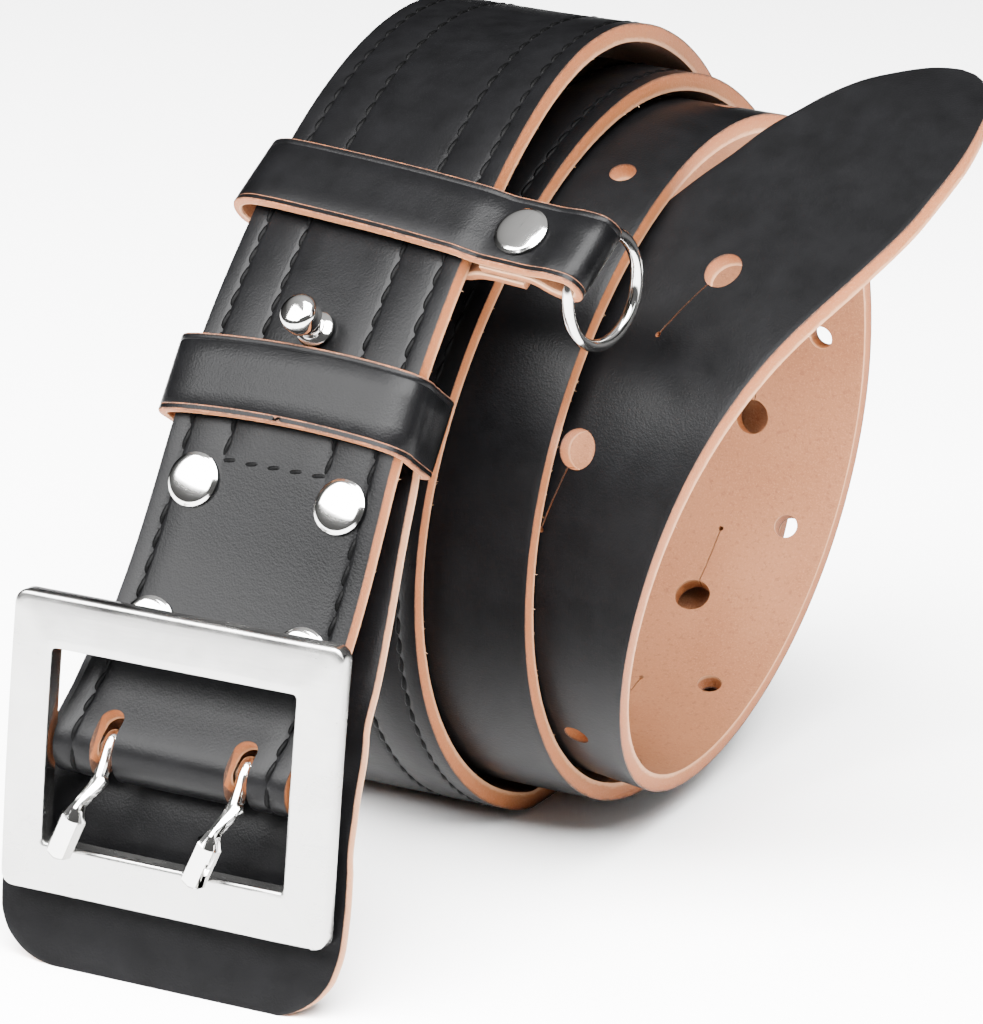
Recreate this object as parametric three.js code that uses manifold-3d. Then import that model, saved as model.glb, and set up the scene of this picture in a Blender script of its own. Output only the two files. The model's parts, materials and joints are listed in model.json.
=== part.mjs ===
// Wide leather dress belt with a double-prong buckle, rolled up on its edge with the buckle end laid forward and down
import * as THREE from "three";
import { mergeVertices } from "three/addons/utils/BufferGeometryUtils.js";
import Module from "manifold-3d";

const wasm = await Module();
wasm.setup();

// Sizes in millimetres: X runs along the roll, Y goes to the back, Z is up
const strapWidth = 50;
const strapThick = 3.8;
const flapThick = 3;
const bandThick = 2;
const edgeBevel = 0.5;
const layerGap = 0.4;
const rollHeight = 80;
const floorSlope = THREE.MathUtils.degToRad(0.6);
const barRadius = 2;
const barCentre = new THREE.Vector3(4, -134.5, 42.5);
const frameTilt = THREE.MathUtils.degToRad(86);
const frameYaw = THREE.MathUtils.degToRad(3);
const frameWidth = 70;
const frameHeight = 59;
const windowWidth = 52;
const windowHeight = 38.4;
const barSetback = 5;
const prongSpacing = 29;
const rivetSpacing = 33;

// Course of the outer surface round the roll: a turn of 0 is the top, 90 the back, 180 the floor, 270 the front
const coil = [
  { turn: -80, radius: 110, shift: 8, lean: 3 },
  { turn: -65, radius: 102.5, shift: 8.5, lean: 4 },
  { turn: -45, radius: 96, shift: 8, lean: 5 },
  { turn: -20, radius: 91.5, shift: 6, lean: 5 },
  { turn: 10, radius: 86.5, shift: 3, lean: -2 },
  { turn: 45, radius: 83, shift: -1, lean: -3.5 },
  { turn: 90, radius: 82.5, shift: -5, lean: -2 },
  { turn: 180, radius: 82, shift: -5.5, lean: 0 },
  { turn: 270, radius: 81, shift: -1, lean: -2 },
  { turn: 315, radius: 80.5, shift: 7, lean: 0 },
  { turn: 360, radius: 79, shift: 10.5, lean: -1 },
  { turn: 405, radius: 77.1, shift: 12.2, lean: -1.4 },
  { turn: 450, radius: 76.5, shift: 13.5, lean: -1 },
  { turn: 540, radius: 75.5, shift: 15, lean: 0 },
  { turn: 630, radius: 76, shift: 21, lean: -1 },
  { turn: 675, radius: 75.5, shift: 27, lean: -1 },
  { turn: 720, radius: 73, shift: 30, lean: -1 },
  { turn: 810, radius: 70, shift: 30.5, lean: -1 },
  { turn: 900, radius: 68, shift: 26, lean: 6.5 },
  { turn: 990, radius: 71, shift: 46, lean: 5.5 },
  { turn: 1035, radius: 71.6, shift: 71, lean: 12 },
  { turn: 1052, radius: 75.9, shift: 85, lean: 11 },
  { turn: 1070, radius: 84.8, shift: 97.5, lean: 5 },
  { turn: 1077.8, radius: 88.4, shift: 102.3, lean: 2 },
];

// Straight run from the bar up to the roll: the middle of the leather, along the strap's slope and in front of it
const slope = THREE.MathUtils.degToRad(60);
const frontRun = [
  { along: 9, out: 2.6, shift: 1, yaw: 3, lean: 0 },
  { along: 16, out: 2.1, shift: 2, yaw: 3, lean: 0 },
  { along: 26, out: 2, shift: 3, yaw: 2.2, lean: 0.6 },
  { along: 38, out: 2.2, shift: 3.5, yaw: 1.2, lean: 1.5 },
  { along: 50, out: 3, shift: 3.8, yaw: 0.5, lean: 2.4 },
];
const backRun = [
  { along: 70, out: -0.3, shift: 4.1, yaw: 0, lean: -3.4 },
  { along: 62, out: -0.5, shift: 4, yaw: 0, lean: -3 },
  { along: 54, out: -1, shift: 3.9, yaw: 0.3, lean: -2.6 },
  { along: 47, out: -1.5, shift: 3.7, yaw: 0.7, lean: -2.1 },
  { along: 40, out: -2, shift: 3.5, yaw: 1.1, lean: -1.7 },
  { along: 26, out: -2.3, shift: 3, yaw: 2.2, lean: -0.6 },
  { along: 16, out: -2.5, shift: 2, yaw: 3, lean: 0 },
  { along: 9, out: -3.5, shift: 1, yaw: 3, lean: 0 },
];
const foldRadius = barRadius + layerGap + strapThick / 2;
// The turned-back end is trimmed narrower than the belt, beginning behind the fold
const turnedBack = { half: 22.5, trimFrom: 16, trimTo: 32 };

// Half width of the free end, measured back from the point
const tipShape = [
  { back: 0, half: 1.5 },
  { back: 1, half: 4.5 },
  { back: 3, half: 8 },
  { back: 7, half: 12 },
  { back: 14, half: 16.5 },
  { back: 24, half: 20.5 },
  { back: 38, half: 23.6 },
  { back: 56, half: 25 },
];

// Natural cubic curve through one column of a table
function smoothColumn(rows, key, column) {
  const n = rows.length;
  const x = rows.map((row) => row[key]);
  const y = rows.map((row) => row[column]);
  const bend = new Array(n).fill(0);
  const factor = new Array(n).fill(0);
  const rest = new Array(n).fill(0);
  for (let i = 1; i < n - 1; i++) {
    const a = x[i] - x[i - 1];
    const b = x[i + 1] - x[i];
    const d = 6 * ((y[i + 1] - y[i]) / b - (y[i] - y[i - 1]) / a);
    const m = 2 * (a + b) - a * factor[i - 1];
    factor[i] = b / m;
    rest[i] = (d - a * rest[i - 1]) / m;
  }
  for (let i = n - 2; i > 0; i--) {
    bend[i] = rest[i] - factor[i] * bend[i + 1];
  }
  return (at) => {
    let i = 0;
    while (i < n - 2 && at > x[i + 1]) {
      i += 1;
    }
    const h = x[i + 1] - x[i];
    const p = (x[i + 1] - at) / h;
    const q = (at - x[i]) / h;
    const curved = ((p ** 3 - p) * bend[i] + (q ** 3 - q) * bend[i + 1]) * h * h / 6;
    return p * y[i] + q * y[i + 1] + curved;
  };
}

function linearColumn(rows, key, column, at) {
  let i = 0;
  while (i < rows.length - 2 && at > rows[i + 1][key]) {
    i += 1;
  }
  const share = (at - rows[i][key]) / (rows[i + 1][key] - rows[i][key]);
  return rows[i][column] + (rows[i + 1][column] - rows[i][column]) * THREE.MathUtils.clamp(share, 0, 1);
}

// A point beside the bar, given along the strap's slope and in front of it
function besideBar(along, out, shift = 0) {
  const y = barCentre.y + along * Math.cos(slope) - out * Math.sin(slope);
  const z = barCentre.z + along * Math.sin(slope) + out * Math.cos(slope);
  return new THREE.Vector3(barCentre.x + shift, y, z);
}

// The knots of the strap's middle surface from the turned-back end to the point
function strapKnots() {
  const knots = [];
  const addRun = (rows) => {
    for (const row of rows) {
      const yaw = THREE.MathUtils.degToRad(row.yaw);
      knots.push({ point: besideBar(row.along, row.out, row.shift), lean: row.lean, yaw, drift: 0 });
    }
  };
  addRun(backRun);
  for (let angle = 180; angle <= 360; angle += 30) {
    const a = THREE.MathUtils.degToRad(angle);
    const point = besideBar(foldRadius * Math.sin(a), foldRadius * Math.cos(a));
    knots.push({ point, lean: 0, yaw: frameYaw, drift: 0 });
  }
  addRun(frontRun);
  const radius = smoothColumn(coil, "turn", "radius");
  const shift = smoothColumn(coil, "turn", "shift");
  const lean = smoothColumn(coil, "turn", "lean");
  const last = coil[coil.length - 1].turn;
  const turns = [];
  for (let turn = coil[0].turn; turn < last - 6; turn += 10) {
    turns.push(turn);
  }
  turns.push(last);
  for (const turn of turns) {
    const a = THREE.MathUtils.degToRad(90 - turn);
    const r = radius(turn) - strapThick / 2;
    const z = rollHeight + r * Math.sin(a);
    const point = new THREE.Vector3(shift(turn), r * Math.cos(a), z);
    knots.push({ point, lean: lean(turn), yaw: 0, drift: 1 });
  }
  return knots;
}

// Stations along the strap, each with its place and its three directions
function strapCourse() {
  const knots = strapKnots();
  const curve = new THREE.CatmullRomCurve3(knots.map((knot) => knot.point), false, "centripetal");
  curve.arcLengthDivisions = 4000;
  const total = curve.getLength();
  const knotValue = (t, key) => {
    const place = t * (knots.length - 1);
    const i = Math.min(Math.floor(place), knots.length - 2);
    return knots[i][key] + (knots[i + 1][key] - knots[i][key]) * (place - i);
  };
  const frameAt = (s) => {
    const t = curve.getUtoTmapping(0, THREE.MathUtils.clamp(s, 0, total));
    const place = curve.getPoint(t);
    const along = curve.getTangent(t);
    // Where the roll stands on the floor it is pressed flat
    const lowest = place.y * Math.tan(floorSlope) + strapThick / 2 / Math.cos(floorSlope);
    const pressed = place.z < lowest;
    if (pressed) {
      place.z = lowest;
      along.z = along.y * Math.tan(floorSlope);
    }
    along.setX(along.x * knotValue(t, "drift")).normalize();
    const yaw = knotValue(t, "yaw");
    const across = new THREE.Vector3(Math.cos(yaw), Math.sin(yaw), 0);
    across.addScaledVector(along, -across.dot(along)).normalize();
    const lean = pressed ? 0 : knotValue(t, "lean");
    across.applyAxisAngle(along, -THREE.MathUtils.degToRad(lean));
    const out = new THREE.Vector3().crossVectors(across, along);
    return { place, along, across, out };
  };
  return { total, frameAt };
}

const course = strapCourse();

// Distance along the strap of the bar, from which the fittings on the straight run are placed
const foldAt = strapFoldStation();

function strapFoldStation() {
  const upSlope = besideBar(1, 0).sub(barCentre);
  const measure = 50;
  let s = course.total * 0.06;
  while (course.frameAt(s).place.clone().sub(barCentre).dot(upSlope) < measure || course.frameAt(s).along.z < 0) {
    s += 0.25;
  }
  return s - measure;
}

// A closed body swept through rings of equal length
function bodyFromRings(rings) {
  const count = rings[0].length;
  const points = [];
  const faces = [];
  for (const ring of rings) {
    for (const point of ring) {
      points.push(point.x, point.y, point.z);
    }
  }
  for (let i = 0; i < rings.length - 1; i++) {
    for (let j = 0; j < count; j++) {
      const a = i * count + j;
      const b = i * count + (j + 1) % count;
      faces.push(a, b, a + count, b, b + count, a + count);
    }
  }
  const end = (rings.length - 1) * count;
  for (let j = 1; j < count - 1; j++) {
    faces.push(0, j + 1, j);
    faces.push(end, end + j, end + j + 1);
  }
  const geometry = new THREE.BufferGeometry();
  geometry.setAttribute("position", new THREE.Float32BufferAttribute(points, 3));
  geometry.setIndex(faces);
  return geometry;
}

// Cross-section of a strip bevelled on its outer side, as offsets across and outward
function stripSection(half, thick, bevel) {
  const t = thick / 2;
  const b = Math.min(bevel, half / 2);
  return [[-half + b, t], [half - b, t], [half, t - b], [half, -t], [-half, -t], [-half, t - b]];
}

function sectionRing(frame, section) {
  return section.map(([w, n]) => frame.place.clone().addScaledVector(frame.across, w).addScaledVector(frame.out, n));
}

// Solids for joining and cutting
function toSolid(geometry) {
  const plain = geometry.clone();
  plain.deleteAttribute("normal");
  plain.deleteAttribute("uv");
  const merged = mergeVertices(plain, 1e-4);
  const vertProperties = new Float32Array(merged.attributes.position.array);
  const triVerts = new Uint32Array(merged.index.array);
  return new wasm.Manifold(new wasm.Mesh({ numProp: 3, vertProperties, triVerts }));
}

function toGeometry(solid) {
  const mesh = solid.getMesh();
  const geometry = new THREE.BufferGeometry();
  geometry.setAttribute("position", new THREE.BufferAttribute(new Float32Array(mesh.vertProperties), 3));
  geometry.setIndex(new THREE.BufferAttribute(new Uint32Array(mesh.triVerts), 1));
  return geometry;
}

// Turns a shape made about the Y axis so that Y points outward from the strap at a place on it
function ontoStrap(geometry, s, across, lift = 0) {
  const frame = course.frameAt(s);
  const place = frame.place.clone().addScaledVector(frame.across, across).addScaledVector(frame.out, lift);
  const basis = new THREE.Matrix4().makeBasis(frame.across, frame.out, frame.along.clone().negate());
  return geometry.clone().applyMatrix4(basis.setPosition(place));
}

function roundCutter(s, across, radius, depth = 16, lift = 0) {
  return toSolid(ontoStrap(new THREE.CylinderGeometry(radius, radius, depth, 12), s, across, lift));
}

function slitCutter(s, length) {
  const blade = new THREE.BoxGeometry(0.8, cutDepth, length);
  return toSolid(ontoStrap(blade, s, 0));
}

// Places along the strap, measured up from the fold or back from the point
const rivetRows = [{ name: "lower", up: 23.7 }, { name: "upper", up: 53 }];
const rivetShank = 1.5;
const rivetHole = 1.9;
const studUp = 85.8;
const studHole = 2.4;
const centreHoles = { first: 65.5, pitch: 44.3, count: 7, radius: 4, slitReach: 17.5 };
const prongHoles = { first: 176, pitch: 44.3, count: 8, radius: 2.7 };
const prongSlot = { half: 2.5, from: -10, to: 6, eyeRoom: 4.5 };
// Through one layer of the strap, and short of the next turn
const cutDepth = 5;

function fromPoint(back) {
  return course.total - back;
}

function makeStrap() {
  const stations = [];
  for (let s = 0; s < foldAt - 14; s += 8) {
    stations.push(s);
  }
  for (let s = foldAt - 14; s < foldAt + 12; s += 2.3) {
    stations.push(s);
  }
  const plainStart = foldAt + 15;
  const plainEnd = fromPoint(60);
  const steps = Math.round((plainEnd - plainStart) / 11.6);
  for (let i = 0; i <= steps; i++) {
    stations.push(plainStart + (plainEnd - plainStart) * i / steps);
  }
  for (const back of [50, 42, 34, 27, 20, 14, 10, 7, 4.5, 3, 1.8, 0.9, 0.3, 0]) {
    stations.push(fromPoint(back));
  }
  const rings = stations.map((s) => {
    const tip = linearColumn(tipShape, "back", "half", course.total - s);
    const trim = THREE.MathUtils.clamp((foldAt - s - turnedBack.trimFrom) / (turnedBack.trimTo - turnedBack.trimFrom), 0, 1);
    const half = Math.min(tip, THREE.MathUtils.lerp(strapWidth / 2, turnedBack.half, trim));
    return sectionRing(course.frameAt(s), stripSection(half, strapThick, edgeBevel));
  });
  let strap = toSolid(bodyFromRings(rings));
  for (const row of rivetRows) {
    for (const side of [-1, 1]) {
      strap = strap.subtract(roundCutter(foldAt + row.up, side * rivetSpacing / 2, rivetHole, 24));
    }
  }
  strap = strap.subtract(roundCutter(foldAt + studUp, 0, studHole, cutDepth));
  for (const side of [-1, 1]) {
    strap = strap.subtract(prongSlotCutter(side * prongSpacing / 2));
  }
  const slitStart = centreHoles.radius - 1;
  const slitLength = centreHoles.slitReach - slitStart;
  for (let i = 0; i < centreHoles.count; i++) {
    const s = fromPoint(centreHoles.first + i * centreHoles.pitch);
    strap = strap.subtract(roundCutter(s, 0, centreHoles.radius, cutDepth));
    strap = strap.subtract(slitCutter(s - slitStart - slitLength / 2, slitLength));
  }
  for (let i = 0; i < prongHoles.count; i++) {
    for (const side of [-1, 1]) {
      const s = fromPoint(prongHoles.first + i * prongHoles.pitch);
      strap = strap.subtract(roundCutter(s, side * prongSpacing / 2, prongHoles.radius, cutDepth));
    }
  }
  return toGeometry(strap);
}

// Directions of the buckle: across it, up along it, and out of its front
const frameUp = new THREE.Vector3(0, Math.cos(frameTilt), Math.sin(frameTilt));
const frameAcross = new THREE.Vector3(Math.cos(frameYaw), Math.sin(frameYaw), 0);
frameAcross.addScaledVector(frameUp, -frameAcross.dot(frameUp)).normalize();
const frameOut = new THREE.Vector3().crossVectors(frameAcross, frameUp);
const frameBasis = new THREE.Matrix4().makeBasis(frameAcross, frameUp, frameOut).setPosition(barCentre);

// Slot in the fold for a prong, wrapping round the front of the bar
function prongSlotCutter(across) {
  const shape = new THREE.Shape();
  shape.absarc(0, prongSlot.to - prongSlot.half, prongSlot.half, 0, Math.PI, false);
  shape.absarc(0, prongSlot.from + prongSlot.half, prongSlot.half, Math.PI, 2 * Math.PI, false);
  const slot = new THREE.ExtrudeGeometry(shape, { depth: 16, bevelEnabled: false, curveSegments: 6 });
  slot.translate(across, 0, 0);
  const room = new THREE.CylinderGeometry(prongSlot.eyeRoom, prongSlot.eyeRoom, 2 * prongSlot.half, 20);
  room.rotateZ(Math.PI / 2).translate(across, 0, 0);
  return toSolid(slot.applyMatrix4(frameBasis)).add(toSolid(room.applyMatrix4(frameBasis)));
}

// A closed body swept through loops that come back to the first one
function bodyFromLoops(loops) {
  const count = loops[0].length;
  const points = [];
  const faces = [];
  for (const loop of loops) {
    for (const point of loop) {
      points.push(point.x, point.y, point.z);
    }
  }
  for (let i = 0; i < loops.length; i++) {
    const next = ((i + 1) % loops.length) * count;
    for (let j = 0; j < count; j++) {
      const k = (j + 1) % count;
      faces.push(i * count + j, i * count + k, next + j, i * count + k, next + k, next + j);
    }
  }
  const geometry = new THREE.BufferGeometry();
  geometry.setAttribute("position", new THREE.Float32BufferAttribute(points, 3));
  geometry.setIndex(faces);
  return geometry;
}

function roundedRectangle(width, height, radius, perCorner) {
  const points = [];
  const corners = [[1, -1, -90], [1, 1, 0], [-1, 1, 90], [-1, -1, 180]];
  for (const [sx, sy, start] of corners) {
    for (let i = 0; i <= perCorner; i++) {
      const a = THREE.MathUtils.degToRad(start + 90 * i / perCorner);
      const x = sx * (width / 2 - radius) + radius * Math.cos(a);
      const y = sy * (height / 2 - radius) + radius * Math.sin(a);
      points.push([x, y]);
    }
  }
  return points;
}

// Frame section, walked from the back of the outer edge round the front to the back of the window
const frameSection = [
  { grow: -0.4, out: -2.2 },
  { grow: 0, out: -1.8 },
  { grow: 0, out: 1.1 },
  { grow: -0.8, out: 1.9 },
  { grow: -8.4, out: 2.2 },
  { grow: -9, out: 1.7 },
  { grow: -9, out: -2.2 },
];
const frameArch = 0.6;
const frameCorner = 2.6;

function archOf(up) {
  return -frameArch * (up / (frameHeight / 2)) ** 2;
}

function makeBuckle() {
  const loops = frameSection.map((row) => {
    const radius = Math.max(frameCorner + row.grow * 0.18, 1);
    const width = frameWidth + 2 * row.grow;
    const height = frameHeight + 2 * row.grow * (frameHeight - windowHeight) / (frameWidth - windowWidth);
    return roundedRectangle(width, height, radius, 4).map(([x, y]) => {
      return new THREE.Vector3(x, y, barSetback + row.out + archOf(y));
    });
  });
  let buckle = toSolid(bodyFromLoops(loops));
  const bar = new THREE.CylinderGeometry(barRadius, barRadius, windowWidth + 7, 16).rotateZ(Math.PI / 2);
  buckle = buckle.add(toSolid(bar));
  for (const side of [-1, 1]) {
    const lug = new THREE.BoxGeometry(4, 6, barSetback + barRadius + 0.2);
    lug.translate(side * (windowWidth / 2 + 3), 0, (barSetback - barRadius - 0.2) / 2);
    buckle = buckle.add(toSolid(lug));
  }
  return toGeometry(buckle).applyMatrix4(frameBasis);
}

// Middle of the flap's leather: first behind the strap, then behind the fold, then down to the floor
const flapBehindStrap = [
  { up: 72, behind: 8 },
  { up: 64, behind: 8 },
  { up: 56, behind: 8 },
  { up: 48, behind: 8 },
  { up: 40, behind: 8 },
  { up: 32, behind: 8 },
  { up: 24, behind: 8.2 },
];
const flapBehindFold = [
  { along: 16, out: -6.4, shift: 1.6 },
  { along: 8, out: -7.6, shift: 0.8 },
  { along: 0, out: -8.4, shift: 0 },
];
const flapFoot = [
  { y: -132, z: 29 },
  { y: -134.9, z: 18 },
  { y: -136.7, z: 11 },
  { y: -139, z: 4 },
  { y: -140.6, z: -2.4 },
];
const flapFootShift = -0.7;
const flapShape = [
  { back: 0, half: 21 },
  { back: 1, half: 26.7 },
  { back: 3, half: 30.7 },
  { back: 6, half: 33.9 },
  { back: 10, half: 35.9 },
  { back: 16, half: 36.7 },
  { back: 30, half: 35.9 },
  { back: 51, half: 32 },
  { back: 73, half: 28.6 },
  { back: 93, half: 26.3 },
  { back: 107, half: 25.2 },
  { back: 117, half: 22.4 },
  { back: 128, half: 21 },
];

function makeFlap() {
  const barWay = new THREE.Vector3(Math.cos(frameYaw), Math.sin(frameYaw), 0);
  const knots = flapBehindStrap.map((row) => {
    const frame = course.frameAt(foldAt + row.up);
    return { point: frame.place.clone().addScaledVector(frame.out, -row.behind), across: frame.across };
  });
  for (const row of flapBehindFold) {
    knots.push({ point: besideBar(row.along, row.out, row.shift), across: barWay });
  }
  for (const row of flapFoot) {
    knots.push({ point: new THREE.Vector3(barCentre.x + flapFootShift, row.y, row.z), across: barWay });
  }
  const curve = new THREE.CatmullRomCurve3(knots.map((knot) => knot.point), false, "centripetal");
  const total = curve.getLength();
  const backs = [0, 1, 2, 3.5, 6, 10, 16, 24];
  for (let back = 32; back < total - 4; back += 7) {
    backs.push(back);
  }
  backs.push(total);
  const rings = backs.map((back) => {
    const u = 1 - back / total;
    const along = curve.getTangentAt(u).multiplyScalar(-1);
    const place = curve.getUtoTmapping(u) * (knots.length - 1);
    const i = Math.min(Math.floor(place), knots.length - 2);
    const side = knots[i].across.clone().lerp(knots[i + 1].across, place - i);
    side.addScaledVector(along, -side.dot(along)).normalize();
    const out = new THREE.Vector3().crossVectors(side, along);
    const half = linearColumn(flapShape, "back", "half", back);
    const frame = { place: curve.getPointAt(u), across: side, out };
    return sectionRing(frame, stripSection(half, flapThick, edgeBevel));
  });
  let flap = toSolid(bodyFromRings(rings));
  for (const row of rivetRows) {
    for (const side of [-1, 1]) {
      flap = flap.subtract(roundCutter(foldAt + row.up, side * rivetSpacing / 2, rivetHole, 40));
    }
  }
  // The lower edge is trimmed flat so that it stands on the floor
  const belowFloor = new THREE.BoxGeometry(200, 400, 10).translate(0, 0, -5).rotateX(floorSlope);
  flap = flap.subtract(toSolid(belowFloor));
  return toGeometry(flap);
}

// Prongs: the middle of the rod beside the bar, seen from the side, and its thickness
const prongRod = [
  { up: 2.8, out: 2.3, side: 0, radius: 0.6 },
  { up: 0.8, out: 3.4, side: 0, radius: 1 },
  { up: -1.6, out: 4.2, side: 0, radius: 1.3 },
  { up: -4.6, out: 5.8, side: -0.1, radius: 1.5 },
  { up: -7.2, out: 9, side: -0.6, radius: 1.5 },
  { up: -9.4, out: 11.4, side: -1.1, radius: 1.5 },
  { up: -11, out: 11.8, side: -1.5, radius: 2.1 },
  { up: -19.8, out: 9.5, side: -5.9, radius: 2.2 },
];
const eyeGap = 0.35;

function makeProng(across) {
  const eye = [];
  const inner = barRadius + eyeGap;
  for (const [radius, half] of [[inner, -1.6], [inner + 1.7, -1.6], [inner + 1.7, 1.6], [inner, 1.6]]) {
    const loop = [];
    for (let i = 0; i < 20; i++) {
      const a = 2 * Math.PI * i / 20;
      loop.push(new THREE.Vector3(half, radius * Math.cos(a), radius * Math.sin(a)));
    }
    eye.push(loop);
  }
  let prong = toSolid(bodyFromLoops(eye));
  const rings = prongRod.map((row, i) => {
    const before = prongRod[Math.max(i - 1, 0)];
    const after = prongRod[Math.min(i + 1, prongRod.length - 1)];
    const along = new THREE.Vector3(after.side - before.side, after.up - before.up, after.out - before.out).normalize();
    const side = new THREE.Vector3(1, 0, 0).addScaledVector(along, -along.x).normalize();
    const out = new THREE.Vector3().crossVectors(side, along);
    const place = new THREE.Vector3(row.side, row.up, row.out);
    const section = [];
    for (let j = 0; j < 8; j++) {
      const a = -2 * Math.PI * (j + 0.5) / 8;
      section.push([row.radius * Math.cos(a), row.radius * Math.sin(a)]);
    }
    return sectionRing({ place, across: side, out }, section);
  });
  prong = prong.add(toSolid(bodyFromRings(rings)));
  const bore = new THREE.CylinderGeometry(inner, inner, 8, 20).rotateZ(Math.PI / 2);
  prong = prong.subtract(toSolid(bore));
  return toGeometry(prong).translate(across, 0, 0).applyMatrix4(frameBasis);
}

// A flat band bent along a path in the plane across the strap
function bandGeometry(path, thick, width, closed) {
  const left = [];
  const right = [];
  const count = path.length;
  for (let i = 0; i < count; i++) {
    const before = path[closed ? (i + count - 1) % count : Math.max(i - 1, 0)];
    const after = path[closed ? (i + 1) % count : Math.min(i + 1, count - 1)];
    const dx = after[0] - before[0];
    const dy = after[1] - before[1];
    const length = Math.hypot(dx, dy);
    const nx = -dy / length * thick / 2;
    const ny = dx / length * thick / 2;
    left.push([path[i][0] + nx, path[i][1] + ny]);
    right.push([path[i][0] - nx, path[i][1] - ny]);
  }
  const outline = new THREE.Shape();
  const first = closed ? right : left.concat(right.slice().reverse());
  outline.setFromPoints(first.map(([x, y]) => new THREE.Vector2(x, y)));
  if (closed) {
    outline.holes.push(new THREE.Path(left.map(([x, y]) => new THREE.Vector2(x, y))));
  }
  const band = new THREE.ExtrudeGeometry(outline, { depth: width, bevelEnabled: false });
  return band.translate(0, 0, -width / 2);
}

// Puts a band's plane across the strap: its X runs across, its Y outward, turned by a skew angle
function acrossStrap(geometry, s, skew) {
  const frame = course.frameAt(s);
  const across = frame.across.clone().applyAxisAngle(frame.out, skew);
  const along = frame.along.clone().applyAxisAngle(frame.out, skew);
  const basis = new THREE.Matrix4().makeBasis(across, frame.out, along.negate()).setPosition(frame.place);
  return geometry.clone().applyMatrix4(basis);
}

const lowerLoop = { up: 72.2, width: 16, skew: 0, bow: 1.5 };

// Lower loop: round the strap, its turned-back end and the flap's top end
const lowerLoopPath = [
  [0, 4.6], [14, 4.4], [22.6, 3.9], [25.4, 3], [26.6, 1.2], [26.8, -1.4], [26.4, -5], [26.1, -8.6], [25.7, -10.7],
  [24.4, -11.6], [20, -11.7], [-22, -11.7], [-26.4, -11.5], [-28.2, -10.4], [-28.6, -8], [-28.6, -2], [-28.4, 0.9],
  [-27, 2.9], [-23.6, 3.9], [-14, 4.4],
];

function makeLowerLoop() {
  const band = bandGeometry(lowerLoopPath.slice().reverse(), bandThick, lowerLoop.width, true);
  // The middle of its front is pushed up the strap
  const place = band.attributes.position;
  for (let i = 0; i < place.count; i++) {
    if (place.getY(i) > 0) {
      place.setZ(i, place.getZ(i) - lowerLoop.bow * (1 - (place.getX(i) / 29) ** 2));
    }
  }
  return toGeometry(toSolid(acrossStrap(band, foldAt + lowerLoop.up, lowerLoop.skew)));
}

// Upper loop: the band's middle from the ear's turned-under end, round the ring, over the strap and back behind it
const upperLoop = { up: 115.3, width: 16, skew: THREE.MathUtils.degToRad(-9), rivet: 36.9 };
const earFold = { across: 50.2, out: 0, radius: 2.9 };

function upperLoopPath() {
  const path = [[30.5, 0], [41.8, 0], [43.6, -0.5], [45.4, -1.7], [47.4, -2.6]];
  for (let angle = -90; angle <= 90; angle += 22.5) {
    const a = THREE.MathUtils.degToRad(angle);
    path.push([earFold.across + earFold.radius * Math.cos(a), earFold.out + earFold.radius * Math.sin(a)]);
  }
  path.push([47, 3], [44.5, 2.7], [42, 2.4], [31, 2.4], [28, 2.9], [25, 3.5], [21, 3.8], [0, 4.6], [-20, 4.4]);
  path.push([-25, 3.8], [-28.2, 2.2], [-29.6, -0.3], [-29.3, -2.9], [-27.3, -4.5], [-22, -5], [0, -5]);
  path.push([22, -4.7], [25.5, -4.2], [28.5, -3], [31.5, -2.4], [40, -2.4]);
  return path;
}

const ring = { radius: 11, wire: 1.2, gap: 0.3, drop: 9.6 };

// The ring hangs from the ear: its axis of swing is the ear's fold, and its centre lies below that
function ringPlace() {
  const frame = course.frameAt(foldAt + upperLoop.up);
  const across = frame.across.clone().applyAxisAngle(frame.out, upperLoop.skew);
  const axis = frame.along.clone().applyAxisAngle(frame.out, upperLoop.skew);
  const pivot = frame.place.clone().addScaledVector(across, earFold.across).addScaledVector(frame.out, earFold.out);
  const down = new THREE.Vector3(0, 0, -1);
  down.addScaledVector(axis, -down.dot(axis)).normalize();
  return { pivot, axis, down };
}

function ringGeometry(wire, around, swing) {
  const { pivot, axis, down } = ringPlace();
  const hang = down.clone().applyAxisAngle(axis, swing);
  const flat = new THREE.TorusGeometry(ring.radius, wire, 8, around);
  const basis = new THREE.Matrix4().makeBasis(hang, axis, new THREE.Vector3().crossVectors(hang, axis));
  basis.setPosition(pivot.clone().addScaledVector(hang, ring.drop));
  return flat.applyMatrix4(basis);
}

const ringSwing = { from: -30, to: 30, step: 15 };

function makeUpperLoop() {
  const band = bandGeometry(upperLoopPath(), bandThick, upperLoop.width, false);
  let loop = toSolid(acrossStrap(band, foldAt + upperLoop.up, upperLoop.skew));
  const drill = new THREE.CylinderGeometry(rivetHole, rivetHole, 20, 12).translate(upperLoop.rivet, 0, 0);
  loop = loop.subtract(toSolid(acrossStrap(drill, foldAt + upperLoop.up, upperLoop.skew)));
  for (let angle = ringSwing.from; angle <= ringSwing.to; angle += ringSwing.step) {
    const swing = THREE.MathUtils.degToRad(angle);
    loop = loop.subtract(toSolid(ringGeometry(ring.wire + ring.gap, 32, swing)));
  }
  return toGeometry(loop);
}

// Turned pieces, as radius and height on the axis that points out of the leather
function turned(rows, segments) {
  return new THREE.LatheGeometry(rows.map(([r, y]) => new THREE.Vector2(r, y)), segments);
}

function rivetProfile(top, bottom) {
  return [
    [0, bottom - 1.1], [3, bottom - 1.1], [4, bottom - 0.7], [4, bottom], [rivetShank, bottom], [rivetShank, top],
    [5.2, top], [5.3, top + 0.4], [4.6, top + 1], [3, top + 1.5], [1.2, top + 1.7], [0, top + 1.7],
  ];
}

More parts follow.
